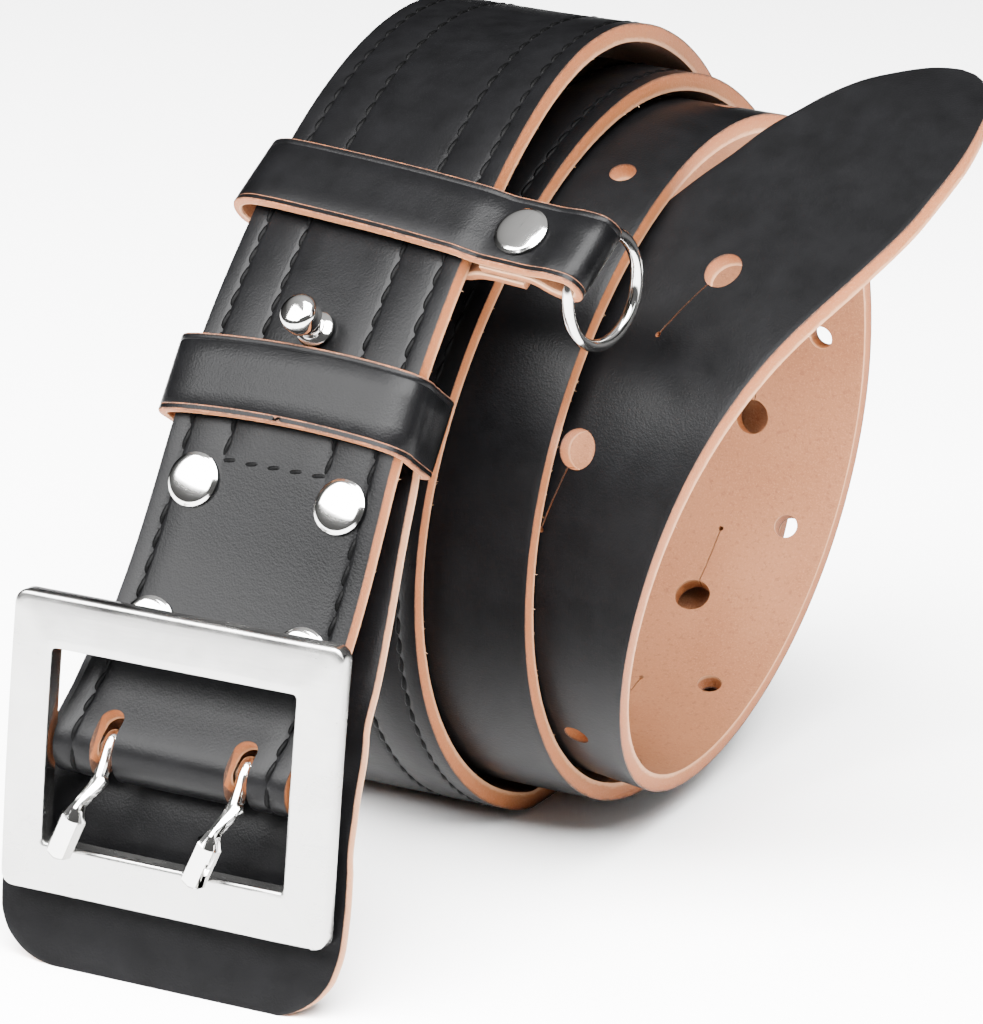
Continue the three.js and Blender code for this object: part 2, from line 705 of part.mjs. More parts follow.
const studProfile = [
  [0, -3.6], [4, -3.6], [4.6, -3.2], [4.6, -2.4], [2, -2.4], [2, 2.4], [3.8, 2.4], [3.8, 3.1], [2.6, 3.7], [2.1, 4.6],
  [2.1, 6.6], [3.2, 7.1], [3.9, 7.8], [3.9, 10.2], [3.5, 11.1], [2.6, 11.6], [1, 11.8], [0, 11.8],
];

function pieceOnStrap(profile, s, across) {
  return ontoStrap(turned(profile, 14), s, across);
}

const model = new THREE.Group();

function addPiece(name, geometry, colour, roughness, metalness) {
  const material = new THREE.MeshStandardMaterial({ color: colour, roughness, metalness });
  const mesh = new THREE.Mesh(geometry, material);
  mesh.name = name;
  model.add(mesh);
}

const blackLeather = 0x1d1c1c;
const nickel = 0xd8d8d6;
addPiece("strap", makeStrap(), blackLeather, 0.45, 0);
addPiece("flap", makeFlap(), blackLeather, 0.45, 0);
addPiece("buckle", makeBuckle(), nickel, 0.18, 1);
addPiece("prong_left", makeProng(-prongSpacing / 2), nickel, 0.18, 1);
addPiece("prong_right", makeProng(prongSpacing / 2), nickel, 0.18, 1);
addPiece("lower_loop", makeLowerLoop(), blackLeather, 0.4, 0);
addPiece("upper_loop", makeUpperLoop(), blackLeather, 0.4, 0);
addPiece("ring", ringGeometry(ring.wire, 28, 0), nickel, 0.15, 1);
addPiece("stud", pieceOnStrap(studProfile, foldAt + studUp, 0), nickel, 0.15, 1);
// Back face of the flap behind the front layer's middle, and the room left at a seat
const flapBack = -9.6;
const seatGap = 0.3;
for (const row of rivetRows) {
  for (const [label, side] of [["left", -1], ["right", 1]]) {
    const profile = rivetProfile(strapThick / 2 + seatGap, flapBack - seatGap - 0.1);
    const rivet = pieceOnStrap(profile, foldAt + row.up, side * rivetSpacing / 2);
    addPiece(`rivet_${row.name}_${label}`, rivet, nickel, 0.15, 1);
  }
}
const earRivet = turned(rivetProfile(3.7, -3.7), 14).translate(upperLoop.rivet, 0, 0);
addPiece("rivet_ear", acrossStrap(earRivet, foldAt + upperLoop.up, upperLoop.skew), nickel, 0.15, 1);

// The belt is turned so that its floor is level, and the origin is put there under its middle
for (const mesh of model.children) {
  mesh.geometry.rotateX(-floorSlope);
}
const bounds = new THREE.Box3().setFromObject(model);
const middle = bounds.getCenter(new THREE.Vector3());
for (const mesh of model.children) {
  mesh.geometry.translate(-middle.x, -middle.y, -bounds.min.z);
}

export default model;
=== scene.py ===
# Wide black leather belt, rolled up on its edge: a double-prong buckle, two loops, a ring, a stud and rivets
import json
import math

import bmesh
import bpy
import numpy as np
from mathutils import Matrix, Vector

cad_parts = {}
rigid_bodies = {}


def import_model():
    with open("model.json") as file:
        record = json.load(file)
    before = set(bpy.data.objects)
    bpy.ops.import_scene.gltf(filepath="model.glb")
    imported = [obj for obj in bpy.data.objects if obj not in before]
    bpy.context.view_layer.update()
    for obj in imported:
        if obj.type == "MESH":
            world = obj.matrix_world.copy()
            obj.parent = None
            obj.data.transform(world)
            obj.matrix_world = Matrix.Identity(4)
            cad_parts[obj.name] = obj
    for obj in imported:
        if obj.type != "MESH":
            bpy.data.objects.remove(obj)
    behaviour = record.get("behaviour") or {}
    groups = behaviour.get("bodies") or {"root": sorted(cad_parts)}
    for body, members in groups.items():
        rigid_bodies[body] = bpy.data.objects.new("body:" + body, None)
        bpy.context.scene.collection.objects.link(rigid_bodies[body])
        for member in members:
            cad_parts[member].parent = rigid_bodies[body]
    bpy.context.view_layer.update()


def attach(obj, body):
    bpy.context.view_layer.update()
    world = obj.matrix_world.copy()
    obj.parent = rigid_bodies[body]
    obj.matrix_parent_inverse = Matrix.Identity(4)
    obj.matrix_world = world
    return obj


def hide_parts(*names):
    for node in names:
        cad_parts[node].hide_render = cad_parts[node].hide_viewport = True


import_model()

# The strap is one 50 mm strip of thick cowhide, black on its grain side and bare on its flesh side and edges.
# It is cut flat, its holes are punched, and then it is folded round the buckle's bar and rolled up.
# The tables are in millimetres, and the roll's course is the one that the solids follow.
mm = 0.001
strap_half = 25.0
strap_thick = 3.8
roll_height = 80.0
floor_slope = math.radians(0.6)
floor_middle = np.array([39.4933, -32.6846, 0.0])
bar_centre = np.array([4.0, -134.5, 42.5])
strap_slope = math.radians(60)
buckle_yaw = 3.0
fold_radius = 4.3

# turn, radius, shift, lean: a turn of 0 is the top of the roll, 90 the back, 180 the floor, 270 the front
coil = np.array([
    (-80, 110, 8, 3), (-65, 102.5, 8.5, 4), (-45, 96, 8, 5), (-20, 91.5, 6, 5), (10, 86.5, 3, -2),
    (45, 83, -1, -3.5), (90, 82.5, -5, -2), (180, 82, -5.5, 0), (270, 81, -1, -2), (315, 80.5, 7, 0),
    (360, 79, 10.5, -1), (405, 77.1, 12.2, -1.4), (450, 76.5, 13.5, -1), (540, 75.5, 15, 0),
    (630, 76, 21, -1), (675, 75.5, 27, -1), (720, 73, 30, -1), (810, 70, 30.5, -1), (900, 68, 26, 6.5),
    (990, 71, 46, 5.5), (1035, 71.6, 71, 12), (1052, 75.9, 85, 11), (1070, 84.8, 97.5, 5),
    (1077.8, 88.4, 102.3, 2),
], float)

# along, out, shift, yaw, lean: up the strap's slope from the bar, and out in front of it
back_run = [
    (70, -0.3, 4.1, 0, -3.4), (62, -0.5, 4, 0, -3), (54, -1, 3.9, 0.3, -2.6), (47, -1.5, 3.7, 0.7, -2.1),
    (40, -2, 3.5, 1.1, -1.7), (26, -2.3, 3, 2.2, -0.6), (16, -2.5, 2, 3, 0), (9, -3.5, 1, 3, 0),
]
front_run = [
    (9, 2.6, 1, 3, 0), (16, 2.1, 2, 3, 0), (26, 2, 3, 2.2, 0.6), (38, 2.2, 3.5, 1.2, 1.5),
    (50, 3, 3.8, 0.5, 2.4),
]

# back from the point, half width
tip_shape = np.array([
    (0, 1.5), (1, 4.5), (3, 8), (7, 12), (14, 16.5), (24, 20.5), (38, 23.6), (56, strap_half)], float)
tip_reach = 56
# The turned-back end is trimmed narrower between these two places behind the fold
trim_run = (16, 32)
trimmed_half = 22.5


def smooth_through(x, y):
    """A natural cubic curve through the points, as a function."""
    n = len(x)
    h = np.diff(x)
    matrix = np.eye(n)
    right = np.zeros(n)
    for i in range(1, n - 1):
        matrix[i, i - 1:i + 2] = h[i - 1], 2 * (h[i - 1] + h[i]), h[i]
        right[i] = 6 * ((y[i + 1] - y[i]) / h[i] - (y[i] - y[i - 1]) / h[i - 1])
    bend = np.linalg.solve(matrix, right)

    def value(at):
        i = np.clip(np.searchsorted(x, at) - 1, 0, n - 2)
        p = (x[i + 1] - at) / h[i]
        q = (at - x[i]) / h[i]
        return p * y[i] + q * y[i + 1] + ((p**3 - p) * bend[i] + (q**3 - q) * bend[i + 1]) * h[i] ** 2 / 6
    return value


def steady_through(table, at):
    """A curve through a table's points that never swings past them."""
    x, y = table.T
    step = np.diff(y) / np.diff(x)
    lean = np.zeros(len(x))
    for i in range(1, len(x) - 1):
        if step[i - 1] * step[i] > 0:
            lean[i] = 2 * step[i - 1] * step[i] / (step[i - 1] + step[i])
    lean[0] = 1.5 * step[0] - 0.5 * lean[1]
    i = np.clip(np.searchsorted(x, at) - 1, 0, len(x) - 2)
    h = x[i + 1] - x[i]
    u = np.clip((at - x[i]) / h, 0, 1)
    a = (2 * u**3 - 3 * u**2 + 1) * y[i] + (u**3 - 2 * u**2 + u) * h * lean[i]
    return a + (3 * u**2 - 2 * u**3) * y[i + 1] + (u**3 - u**2) * h * lean[i + 1]


def curve_through(points):
    """A smooth curve through points, as a function of the share of them that is passed."""
    p = np.array(points, float)
    p = np.vstack([2 * p[0] - p[1], p, 2 * p[-1] - p[-2]])

    def place(share):
        u = np.asarray(share) * (len(p) - 3)
        i = np.clip(np.floor(u).astype(int), 0, len(p) - 4)
        w = (u - i)[:, None]
        a, b, c, d = p[i], p[i + 1], p[i + 2], p[i + 3]
        da, db, dc = (np.linalg.norm(q, axis=1)[:, None] ** 0.5 for q in (b - a, c - b, d - c))
        m = ((b - a) / da - (c - a) / (da + db) + (c - b) / db) * db
        n = ((c - b) / db - (d - b) / (db + dc) + (d - c) / dc) * db
        return b + m * w + (3 * c - 3 * b - 2 * m - n) * w**2 + (2 * b - 2 * c + m + n) * w**3
    return place


def unit(rows):
    return rows / np.linalg.norm(rows, axis=-1, keepdims=True)


def beside_bar(along, out, shift=0.0):
    """A place near the bar: up the strap's slope, out of it, and shifted sideways."""
    y = bar_centre[1] + along * math.cos(strap_slope) - out * math.sin(strap_slope)
    z = bar_centre[2] + along * math.sin(strap_slope) + out * math.cos(strap_slope)
    return np.array([bar_centre[0] + shift, y, z])


def strap_knots():
    """The points of the strap's course, each with its lean, yaw and drift along the roll."""
    knots = [(beside_bar(a, o, x), lean, yaw, 0) for a, o, x, yaw, lean in back_run]
    for angle in range(180, 361, 30):
        a = math.radians(angle)
        knots.append((beside_bar(fold_radius * math.sin(a), fold_radius * math.cos(a)), 0, buckle_yaw, 0))
    knots += [(beside_bar(a, o, x), lean, yaw, 0) for a, o, x, yaw, lean in front_run]
    radius, shift, lean = (smooth_through(coil[:, 0], coil[:, k]) for k in (1, 2, 3))
    for turn in [*np.arange(coil[0, 0], coil[-1, 0] - 6, 10), coil[-1, 0]]:
        a = math.radians(90 - turn)
        r = radius(turn) - strap_thick / 2
        point = np.array([shift(turn), r * math.cos(a), roll_height + r * math.sin(a)])
        knots.append((point, lean(turn), 0, 1))
    return knots


def smoothed(rows, reach):
    """Each row as the mean of its neighbours within reach."""
    padded = np.pad(rows, ((reach, reach), (0, 0)), mode="edge")
    window = np.ones(2 * reach + 1) / (2 * reach + 1)
    return np.stack([np.convolve(padded[:, k], window, "valid") for k in range(3)], 1)


knots = strap_knots()
strap_line = curve_through([k[0] for k in knots])
share = np.linspace(0, 1, 4001)
station_step = 0.25
nudge = 1e-4


def between(at, known, rows):
    """Rows of numbers for new places, each column worked out between its known places."""
    return np.stack([np.interp(at, known, column) for column in np.transpose(rows)], -1)


def lengths_along(points):
    """How far along a line each of its points lies."""
    return np.concatenate([[0], np.cumsum(np.linalg.norm(np.diff(points, axis=0), axis=1))])


run = lengths_along(strap_line(share))
strap_length = run[-1]
station = np.arange(0, strap_length + station_step, station_step)
passed = np.interp(station, run, share)
place = strap_line(passed)
along = unit(strap_line(np.minimum(passed + nudge, 1)) - strap_line(np.maximum(passed - nudge, 0)))
# Where the roll stands on the floor, the strap is pressed flat
lowest = place[:, 1] * math.tan(floor_slope) + strap_thick / 2 / math.cos(floor_slope)
pressed = place[:, 2] < lowest
place[pressed, 2] = lowest[pressed]
along[pressed, 2] = along[pressed, 1] * math.tan(floor_slope)
lean, yaw, drift = between(passed * (len(knots) - 1), np.arange(len(knots)), [k[1:] for k in knots]).T
along[:, 0] *= drift
along = unit(along)
across = np.stack([np.cos(np.radians(yaw)), np.sin(np.radians(yaw)), 0 * yaw], 1)
across = unit(across - along * (across * along).sum(1, keepdims=True))
lean = np.where(pressed, 0, np.radians(lean))[:, None]
across = smoothed(across * np.cos(lean) - np.cross(along, across) * np.sin(lean), 16)
across = unit(across - along * (across * along).sum(1, keepdims=True))
outward = np.cross(across, along)
# The fold's station is found from the place where the front run has climbed this far past the bar
straight_climb = 50
climb = (place - bar_centre) @ np.array([0, math.cos(strap_slope), math.sin(strap_slope)])
past_fold = (station > 0.06 * strap_length) & (climb >= straight_climb) & (along[:, 2] >= 0)
fold_at = station[past_fold][0] - straight_climb


def settled(points):
    """From the fitting frame, in millimetres, to the part's own frame in metres, with its floor level."""
    p = np.asarray(points, float)
    y = p[..., 1] * math.cos(floor_slope) + p[..., 2] * math.sin(floor_slope)
    z = p[..., 2] * math.cos(floor_slope) - p[..., 1] * math.sin(floor_slope)
    return (np.stack([p[..., 0], y, z], -1) - floor_middle) * mm


def at_station(s, track):
    return between(s, station, track)


def on_strap(flat):
    """Rolls up points of the flat strap, which lie across, along and above its middle, in metres."""
    w, s, n = (flat[:, k] / mm for k in range(3))
    side, out = at_station(s, across), at_station(s, outward)
    rolled = settled(at_station(s, place) + side * w[:, None] + out * n[:, None])
    rolled[:, 2] = np.maximum(rolled[:, 2], 0)
    return rolled


def half_width(s):
    """Half the strap's width at a station: its free end is pointed, its turned-back end trimmed."""
    back = strap_length - s
    half = np.where(back < tip_reach, steady_through(tip_shape, back), strap_half)
    return half * np.interp(fold_at - s, trim_run, (1, trimmed_half / strap_half))


def get_points(piece):
    points = np.zeros(len(piece.data.vertices) * 3)
    piece.data.vertices.foreach_get("co", points)
    return points.reshape(-1, 3)


def put_points(piece, points):
    piece.data.vertices.foreach_set("co", np.asarray(points, float).ravel())
    piece.data.update()


def leave_edit():
    bpy.ops.object.mode_set(mode="OBJECT")


def pick_only(*pieces):
    if bpy.context.object and bpy.context.object.mode != "OBJECT":
        leave_edit()
    bpy.ops.object.select_all(action="DESELECT")
    for piece in pieces:
        piece.select_set(True)
    bpy.context.view_layer.objects.active = pieces[0] if pieces else None


def mark(piece, kind, test):
    """Opens a piece in edit mode with only those of its points, edges or faces selected that pass a test."""
    pick_only(piece)
    bpy.ops.object.mode_set(mode="EDIT")
    bpy.ops.mesh.select_mode(type=kind)
    bpy.ops.mesh.select_all(action="DESELECT")
    shape = bmesh.from_edit_mesh(piece.data)
    for part in {"VERT": shape.verts, "EDGE": shape.edges, "FACE": shape.faces}[kind]:
        if test(part):
            part.select_set(True)
    bmesh.update_edit_mesh(piece.data)


def new_piece(name):
    """Names the object that the last operator made."""
    piece = bpy.context.object
    piece.name = piece.data.name = name
    return piece


def apply_modifiers(piece):
    pick_only(piece)
    for modifier in list(piece.modifiers):
        bpy.ops.object.modifier_apply(modifier=modifier.name)


def combine(piece, tool, how):
    modifier = piece.modifiers.new("Combine", "BOOLEAN")
    modifier.object = tool
    modifier.operation = how
    modifier.solver = "EXACT"
    modifier.use_self = True
    apply_modifiers(piece)
    bpy.data.objects.remove(tool)


def cut_out(piece, cutters):
    """Joins the cutters and takes them out of a piece."""
    pick_only(*cutters)
    bpy.ops.object.join()
    combine(piece, bpy.context.object, "DIFFERENCE")


def grid_sheet(name, columns, rows):
    """A flat sheet whose columns lie across X and whose rows lie along Y, both in millimetres."""
    pick_only()
    bpy.ops.mesh.primitive_grid_add(x_subdivisions=len(columns) - 1, y_subdivisions=len(rows) - 1, size=2)
    sheet = new_piece(name)
    points = get_points(sheet)
    i = np.rint((points[:, 0] + 1) / 2 * (len(columns) - 1)).astype(int)
    j = np.rint((points[:, 1] + 1) / 2 * (len(rows) - 1)).astype(int)
    put_points(sheet, np.stack([np.array(columns)[i], np.array(rows)[j], 0 * points[:, 2]], 1) * mm)
    return sheet


def thicken(sheet, thick, rim):
    """Gives a flat sheet its thickness, and rounds the rims of its two sides."""
    modifier = sheet.modifiers.new("Thickness", "SOLIDIFY")
    modifier.thickness = thick * mm
    modifier.offset = 0
    apply_modifiers(sheet)
    for side, size, steps in ((1, rim, 3), (-1, rim * 0.6, 2)):

        def on_rim(edge):
            level = all(v.co.z * side > thick * mm * 0.49 for v in edge.verts)
            return level and any(abs(f.normal.z) < 0.5 for f in edge.link_faces)
        mark(sheet, "EDGE", on_rim)
        bpy.ops.mesh.bevel(offset=size * mm, segments=steps, affect="EDGES", clamp_overlap=True)
        leave_edit()


grain, flesh, cut = 0, 1, 2


def lay_out(sheet):
    """Marks grain, flesh side and cut edges, and lays a flat UV map in metres."""
    layer = sheet.data.uv_layers.new(name="flat")
    for face in sheet.data.polygons:
        up = face.normal.z
        face.material_index = grain if up > 0.8 else flesh if up < -0.8 else cut
        for k in face.loop_indices:
            p = sheet.data.vertices[sheet.data.loops[k].vertex_index].co
            layer.data[k].uv = (p.z, p.y + p.x) if face.material_index == cut else (p.x, p.y)


# The sheet is finer beside its stitched rows, round the bar and at the point
columns = [0, 5.5, 10.4, 11.0, 11.5, 12.0, 12.6, 16.2, 19.9, 20.5, 21, 21.5, 22.1, 23.6, strap_half]
columns = [-c for c in columns[:0:-1]] + columns
fold_from, fold_to = fold_at - 24, fold_at + 12
tip_rows = 60
rows = np.concatenate([
    np.arange(0, fold_from, 3), np.arange(fold_from, fold_to, 0.9),
    np.linspace(fold_to, strap_length - tip_rows, 510),
    strap_length - tip_rows * (1 - np.linspace(0.02, 1, 48)) ** 1.5,
])
strap = grid_sheet("strap_leather", columns, rows)
points = get_points(strap)
points[:, 0] *= half_width(points[:, 1] / mm) / strap_half
put_points(strap, points)
thicken(strap, strap_thick, 0.5)

rivet_rows = {"lower": 23.7, "upper": 53.0}
rivet_side = 16.5
rivet_hole = 1.9
stud_up = 85.8
stud_hole = 2.4
prong_side = 14.5
slot_radius, slot_behind, slot_ahead = 2.45, 20.5, 5.2
# first hole and pitch, back from the point, number, radius
centre_holes = (65.5, 44.3, 7, 4.0)
prong_holes = (176.0, 44.3, 8, 2.7)
slit_reach = 17.5
slit_half = 0.17
slit_end = 0.6
slit_overlap = 0.6
punch_depth = 12
both_sides = (-1, 1)


def punch(radius, across_at, along_at, sides=28):
    """A round cutter through the flat leather."""
    spot = (across_at * mm, along_at * mm, 0)
    bpy.ops.mesh.primitive_cylinder_add(
        vertices=sides, radius=radius * mm, depth=punch_depth * mm, location=spot)
    return bpy.context.object


def slot_punch(radius, across_at, start, end):
    """A round-ended punch: a cylinder whose two halves are pulled apart along the strap."""
    tool = punch(radius, across_at, (start + end) / 2, 32)
    bpy.ops.object.transform_apply()
    points = get_points(tool)
    middle = (start + end) / 2 * mm
    points[:, 1] += np.sign(points[:, 1] - middle + 1e-9) * ((end - start) / 2 - radius) * mm
    put_points(tool, points)
    return tool


def station_behind(s):
    """Where a line through the leather at a station passes the turned-back end."""
    middle, way = (at_station(s, track) for track in (place, along))
    behind = station < fold_at - 14
    gap = place[behind] - middle
    return station[behind][np.argmin(np.abs(gap @ way))]


pick_only()
punches = []
for up in rivet_rows.values():
    for side in both_sides:
        punches.append(punch(rivet_hole, side * rivet_side, fold_at + up))
        punches.append(punch(rivet_hole, side * rivet_side, station_behind(fold_at + up)))
punches.append(punch(stud_hole, 0, fold_at + stud_up))
slot_from, slot_to = fold_at - slot_behind, fold_at + slot_ahead
for side in both_sides:
    punches.append(slot_punch(slot_radius, side * prong_side, slot_from, slot_to))
first, pitch, count, radius = centre_holes
for k in range(count):
    s = strap_length - first - pitch * k
    punches.append(punch(radius, 0, s))
    punches.append(slot_punch(slit_half, 0, s - slit_reach, s - radius + slit_overlap))
    punches.append(punch(slit_end, 0, s - slit_reach, 16))
first, pitch, count, radius = prong_holes
for k in range(count):
    for side in both_sides:
        punches.append(punch(radius, side * prong_side, strap_length - first - pitch * k))
cut_out(strap, punches)
lay_out(strap)

# Along each stitched row the leather is drawn in a little
stitch_rows = (-21.0, -11.5, 11.5, 21.0)
stitch_pitch = 5.0
stitches_end = fold_at + 905.0
cross_stitch = 58.0
inner_rows_within = 20
draw_reach, draw_depth = 0.9, 0.38
grain_level = 1.85
points = get_points(strap)
for row in stitch_rows:
    start = fold_at + cross_stitch if abs(row) < inner_rows_within else fold_at - 60
    near = np.clip(1 - np.abs(points[:, 0] / mm - row) / draw_reach, 0, 1)
    stitched = (points[:, 1] / mm > start) & (points[:, 1] / mm < stitches_end)
    inside = stitched & (points[:, 2] > grain_level * mm)
    points[:, 2] -= np.where(inside, near * draw_depth * mm, 0)
put_points(strap, on_strap(points))


class Finish:
    """A procedural material, with a short way to add and join its nodes."""

    def __init__(self, name):
        self.material = bpy.data.materials.new(name)
        self.material.use_nodes = True
        self.tree = self.material.node_tree
        self.shader = self.tree.nodes["Principled BSDF"]
        self.place = self.tree.nodes.new("ShaderNodeTexCoord").outputs["Object"]

    def join(self, value, socket):
        if isinstance(value, bpy.types.NodeSocket):
            self.tree.links.new(value, socket)
        else:
            socket.default_value = value

    def node(self, kind, inputs=(), **settings):
        made = self.tree.nodes.new("ShaderNode" + kind)
        for key, value in settings.items():
            setattr(made, key, value)
        for key, value in dict(inputs).items():
            self.join(value, made.inputs[key])
        return made

    def noise(self, scale, detail, rough=0.55, place=None, stretch=None):
        place = place or self.place
        if stretch:
            place = self.node("Mapping", {"Vector": place, "Scale": stretch}).outputs[0]
        values = {"Vector": place, "Scale": scale, "Detail": detail, "Roughness": rough}
        return self.node("TexNoise", values).outputs["Fac"]

    def cells(self, scale):
        return self.node("TexVoronoi", {"Vector": self.place, "Scale": scale}).outputs["Distance"]

    def ramp(self, value, *stops):
        made = self.node("ValToRGB", {"Fac": value})
        while len(made.color_ramp.elements) < len(stops):
            made.color_ramp.elements.new(0.5)
        for element, (at, colour) in zip(made.color_ramp.elements, stops):
            element.position = at
            element.color = (*colour, 1) if isinstance(colour, tuple) else (colour, colour, colour, 1)
        return made.outputs["Color"]

    def sum(self, first, second, kind="ADD"):
        return self.node("Math", {0: first, 1: second}, operation=kind).outputs[0]

    def mix(self, share, first, second):
        return self.node("Mix", {0: share, 6: first, 7: second}, data_type="RGBA").outputs[2]

    def bump(self, height, strength, distance):
        return self.node("Bump", {"Height": height, "Strength": strength, "Distance": distance}).outputs[0]

    def set(self, **values):
        for key, value in values.items():
            self.join(value, self.shader.inputs[key.replace("_", " ")])
        return self.material


def grain_leather(name, light, dark, gloss):
    """Black dyed grain: fine pores and pebbles, faint creases, and a soft shine that varies a little."""
    f = Finish(name)
    pebble = f.cells(2300)
    pore = f.noise(3600, 1)
    crease = f.noise(700, 3, 0.6)
    height = f.sum(f.sum(pebble, f.sum(pore, 0.5, "MULTIPLY")), f.sum(crease, 1.2, "MULTIPLY"))
    mottle = f.noise(160, 3)
    dye = f.sum(f.sum(mottle, 0.6, "MULTIPLY"), f.sum(pore, 0.4, "MULTIPLY"))
    colour = f.ramp(dye, (0.35, dark), (0.65, light))
    shine = f.ramp(f.sum(mottle, f.sum(crease, 0.4, "MULTIPLY")), (0.45, gloss - 0.01), (0.95, gloss + 0.03))
    bump = f.bump(height, 0.30, 0.00008)
    return f.set(Base_Color=colour, Roughness=shine, Specular_IOR_Level=0.06, Normal=bump)


def flesh_leather(name):
    """The bare inner side: warm tan, with short pale fibres and darker pores."""
    f = Finish(name)
    fibre = f.noise(900, 3, 0.65)
    fleck = f.noise(2600, 1)
    cloud = f.noise(38, 2)
    base = f.mix(f.ramp(cloud, (0.3, 0.0), (0.7, 1.0)), (0.150, 0.056, 0.022, 1), (0.182, 0.074, 0.032, 1))
    colour = f.mix(f.ramp(fleck, (0.52, 0.0), (0.72, 0.35)), base, (0.26, 0.12, 0.06, 1))
    colour = f.mix(f.ramp(fibre, (0.30, 0.5), (0.46, 0.0)), colour, (0.095, 0.032, 0.013, 1))
    bump = f.bump(f.sum(fibre, f.sum(fleck, 0.6, "MULTIPLY")), 0.5, 0.00018)
    return f.set(Base_Color=colour, Roughness=0.82, Specular_IOR_Level=0.25, Normal=bump)


def cut_leather(name, thick, deep, mid, pale):
    """The cut edge: orange tan under the dyed grain, paler and fuzzy at the flesh side."""
    f = Finish(name)
    flat = f.node("UVMap", uv_map="flat").outputs[0]
    depth = f.node("SeparateXYZ", {"Vector": flat}).outputs[0]
    streak = f.noise(650, 3, 0.7, flat, (2.2, 0.5, 1))
    level = f.node("MapRange", {0: depth, 1: -thick / 2 * mm, 2: thick / 2 * mm, 3: 0.0, 4: 1.0}).outputs[0]
    level = f.sum(level, f.sum(f.sum(streak, -0.5), 0.30, "MULTIPLY"))
    colour = f.ramp(level, (0.0, pale), (0.12, pale), (0.26, mid), (0.86, deep), (0.97, (0.03, 0.011, 0.005)))
    fleck = f.noise(2400, 2, 0.7)
    colour = f.mix(f.ramp(fleck, (0.52, 0.0), (0.74, 0.30)), colour, (*pale, 1))
    bump = f.bump(f.sum(streak, fleck), 0.6, 0.0002)
    return f.set(Base_Color=colour, Roughness=0.78, Specular_IOR_Level=0.25, Normal=bump)


dye_light, dye_dark = (0.0018, 0.0018, 0.0020), (0.0010, 0.0010, 0.0011)
black_grain = grain_leather("black_grain", dye_light, dye_dark, 0.36)
tan_flesh = flesh_leather("tan_flesh")
tan_edge = cut_leather(
    "tan_cut_edge", strap_thick, (0.165, 0.046, 0.0105), (0.20, 0.066, 0.019), (0.31, 0.155, 0.08))


def complete(piece, body, slot, nodes, *finishes, angle=35):
    """Gives a finished piece its materials and smooth shading, hangs it on the body it rides on, and hides
    the parts it stands for.
    """
    for finish in finishes:
        piece.data.materials.append(finish)
    pick_only(piece)
    bpy.ops.object.shade_smooth_by_angle(angle=math.radians(angle))
    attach(piece, body)
    if nodes:
        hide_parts(*nodes)
    pick_only()


complete(strap, "belt", "black_leather", ["strap"], black_grain, tan_flesh, tan_edge)

# The flesh side of the strap's cut edges is frayed: short pale fibres of the hide stand out from its corners.
# They are part of the strap's leather, here one piece of many fine three-sided tapers.
rng = np.random.default_rng(11)
fibre_count = 2600
fibre_radius = 0.07
fibre_sunk = 0.15
fibre_s = rng.uniform(8, strap_length - 3, fibre_count)
fibre_side = rng.choice([-1.0, 1.0], fibre_count)
fibre_edge = fibre_side * (half_width(fibre_s) - fibre_sunk)
fibre_foot = np.stack([fibre_edge, fibre_s, rng.uniform(-1.75, -1.2, fibre_count)], 1)
fibre_way = np.stack([
    fibre_side * rng.uniform(0.2, 1, fibre_count),
    rng.normal(0, 0.8, fibre_count),
    rng.normal(-0.3, 0.35, fibre_count)], 1)
fibre_length = rng.gamma(3, 0.13, fibre_count)[:, None].clip(0.2, 1.0)
fibre_end = fibre_foot + unit(fibre_way) * fibre_length


def repeat(piece, count, step=(0, 0, 0)):
    modifier = piece.modifiers.new("Repeat", "ARRAY")
    modifier.count = count
    modifier.use_relative_offset = False
    modifier.use_constant_offset = True
    modifier.constant_offset_displace = step
    apply_modifiers(piece)


pick_only()
bpy.ops.mesh.primitive_cone_add(vertices=3, radius1=1, radius2=0.3, depth=1, location=(0, 0, 0.5))
bpy.ops.object.transform_apply()
fibres = new_piece("strap_frayed_fibres")
repeat(fibres, fibre_count)
taper = get_points(fibres).reshape(fibre_count, -1, 3)
share_up = taper[:, :, 2:]
spread = np.concatenate([0 * share_up, taper[:, :, :2]], 2) * fibre_radius
fibre_points = fibre_foot[:, None] * (1 - share_up) + fibre_end[:, None] * share_up + spread
put_points(fibres, on_strap(fibre_points.reshape(-1, 3) * mm))


def loose_fibre():
    """Dull fibre of bare hide, paler and darker from tuft to tuft."""
    f = Finish("pale_fibre")
    tuft = f.ramp(f.noise(300, 2), (0.35, (0.30, 0.145, 0.068)), (0.65, (0.46, 0.29, 0.185)))
    return f.set(Base_Color=tuft, Roughness=0.85, Specular_IOR_Level=0.2)


complete(fibres, "belt", "black_leather", [], loose_fibre(), angle=60)

# Four rows of black waxed thread stiffen the belt, two near each edge, and a short row joins the inner ones.
# Each stitch is a short twisted length that dips into its hole at both ends.
stitch_half = np.array([0.58, 2.35, 0.40])
stitch_dip = 0.35
stitch_sunk = 0.22
outer_rows_from = -12
cross_half = 12.5
rivet_clear = 5.4
pick_only()
bpy.ops.mesh.primitive_uv_sphere_add(segments=8, ring_count=8, radius=1, location=(0, 0, 0))
stitch = bpy.context.object
points = get_points(stitch)
points = points[:, [0, 2, 1]] * stitch_half * mm
points[:, 2] -= stitch_dip * mm * np.abs(points[:, 1] / (stitch_half[1] * mm)) ** 3
put_points(stitch, points)
mark(stitch, "FACE", lambda face: True)
bpy.ops.mesh.normals_make_consistent(inside=False)
leave_edit()


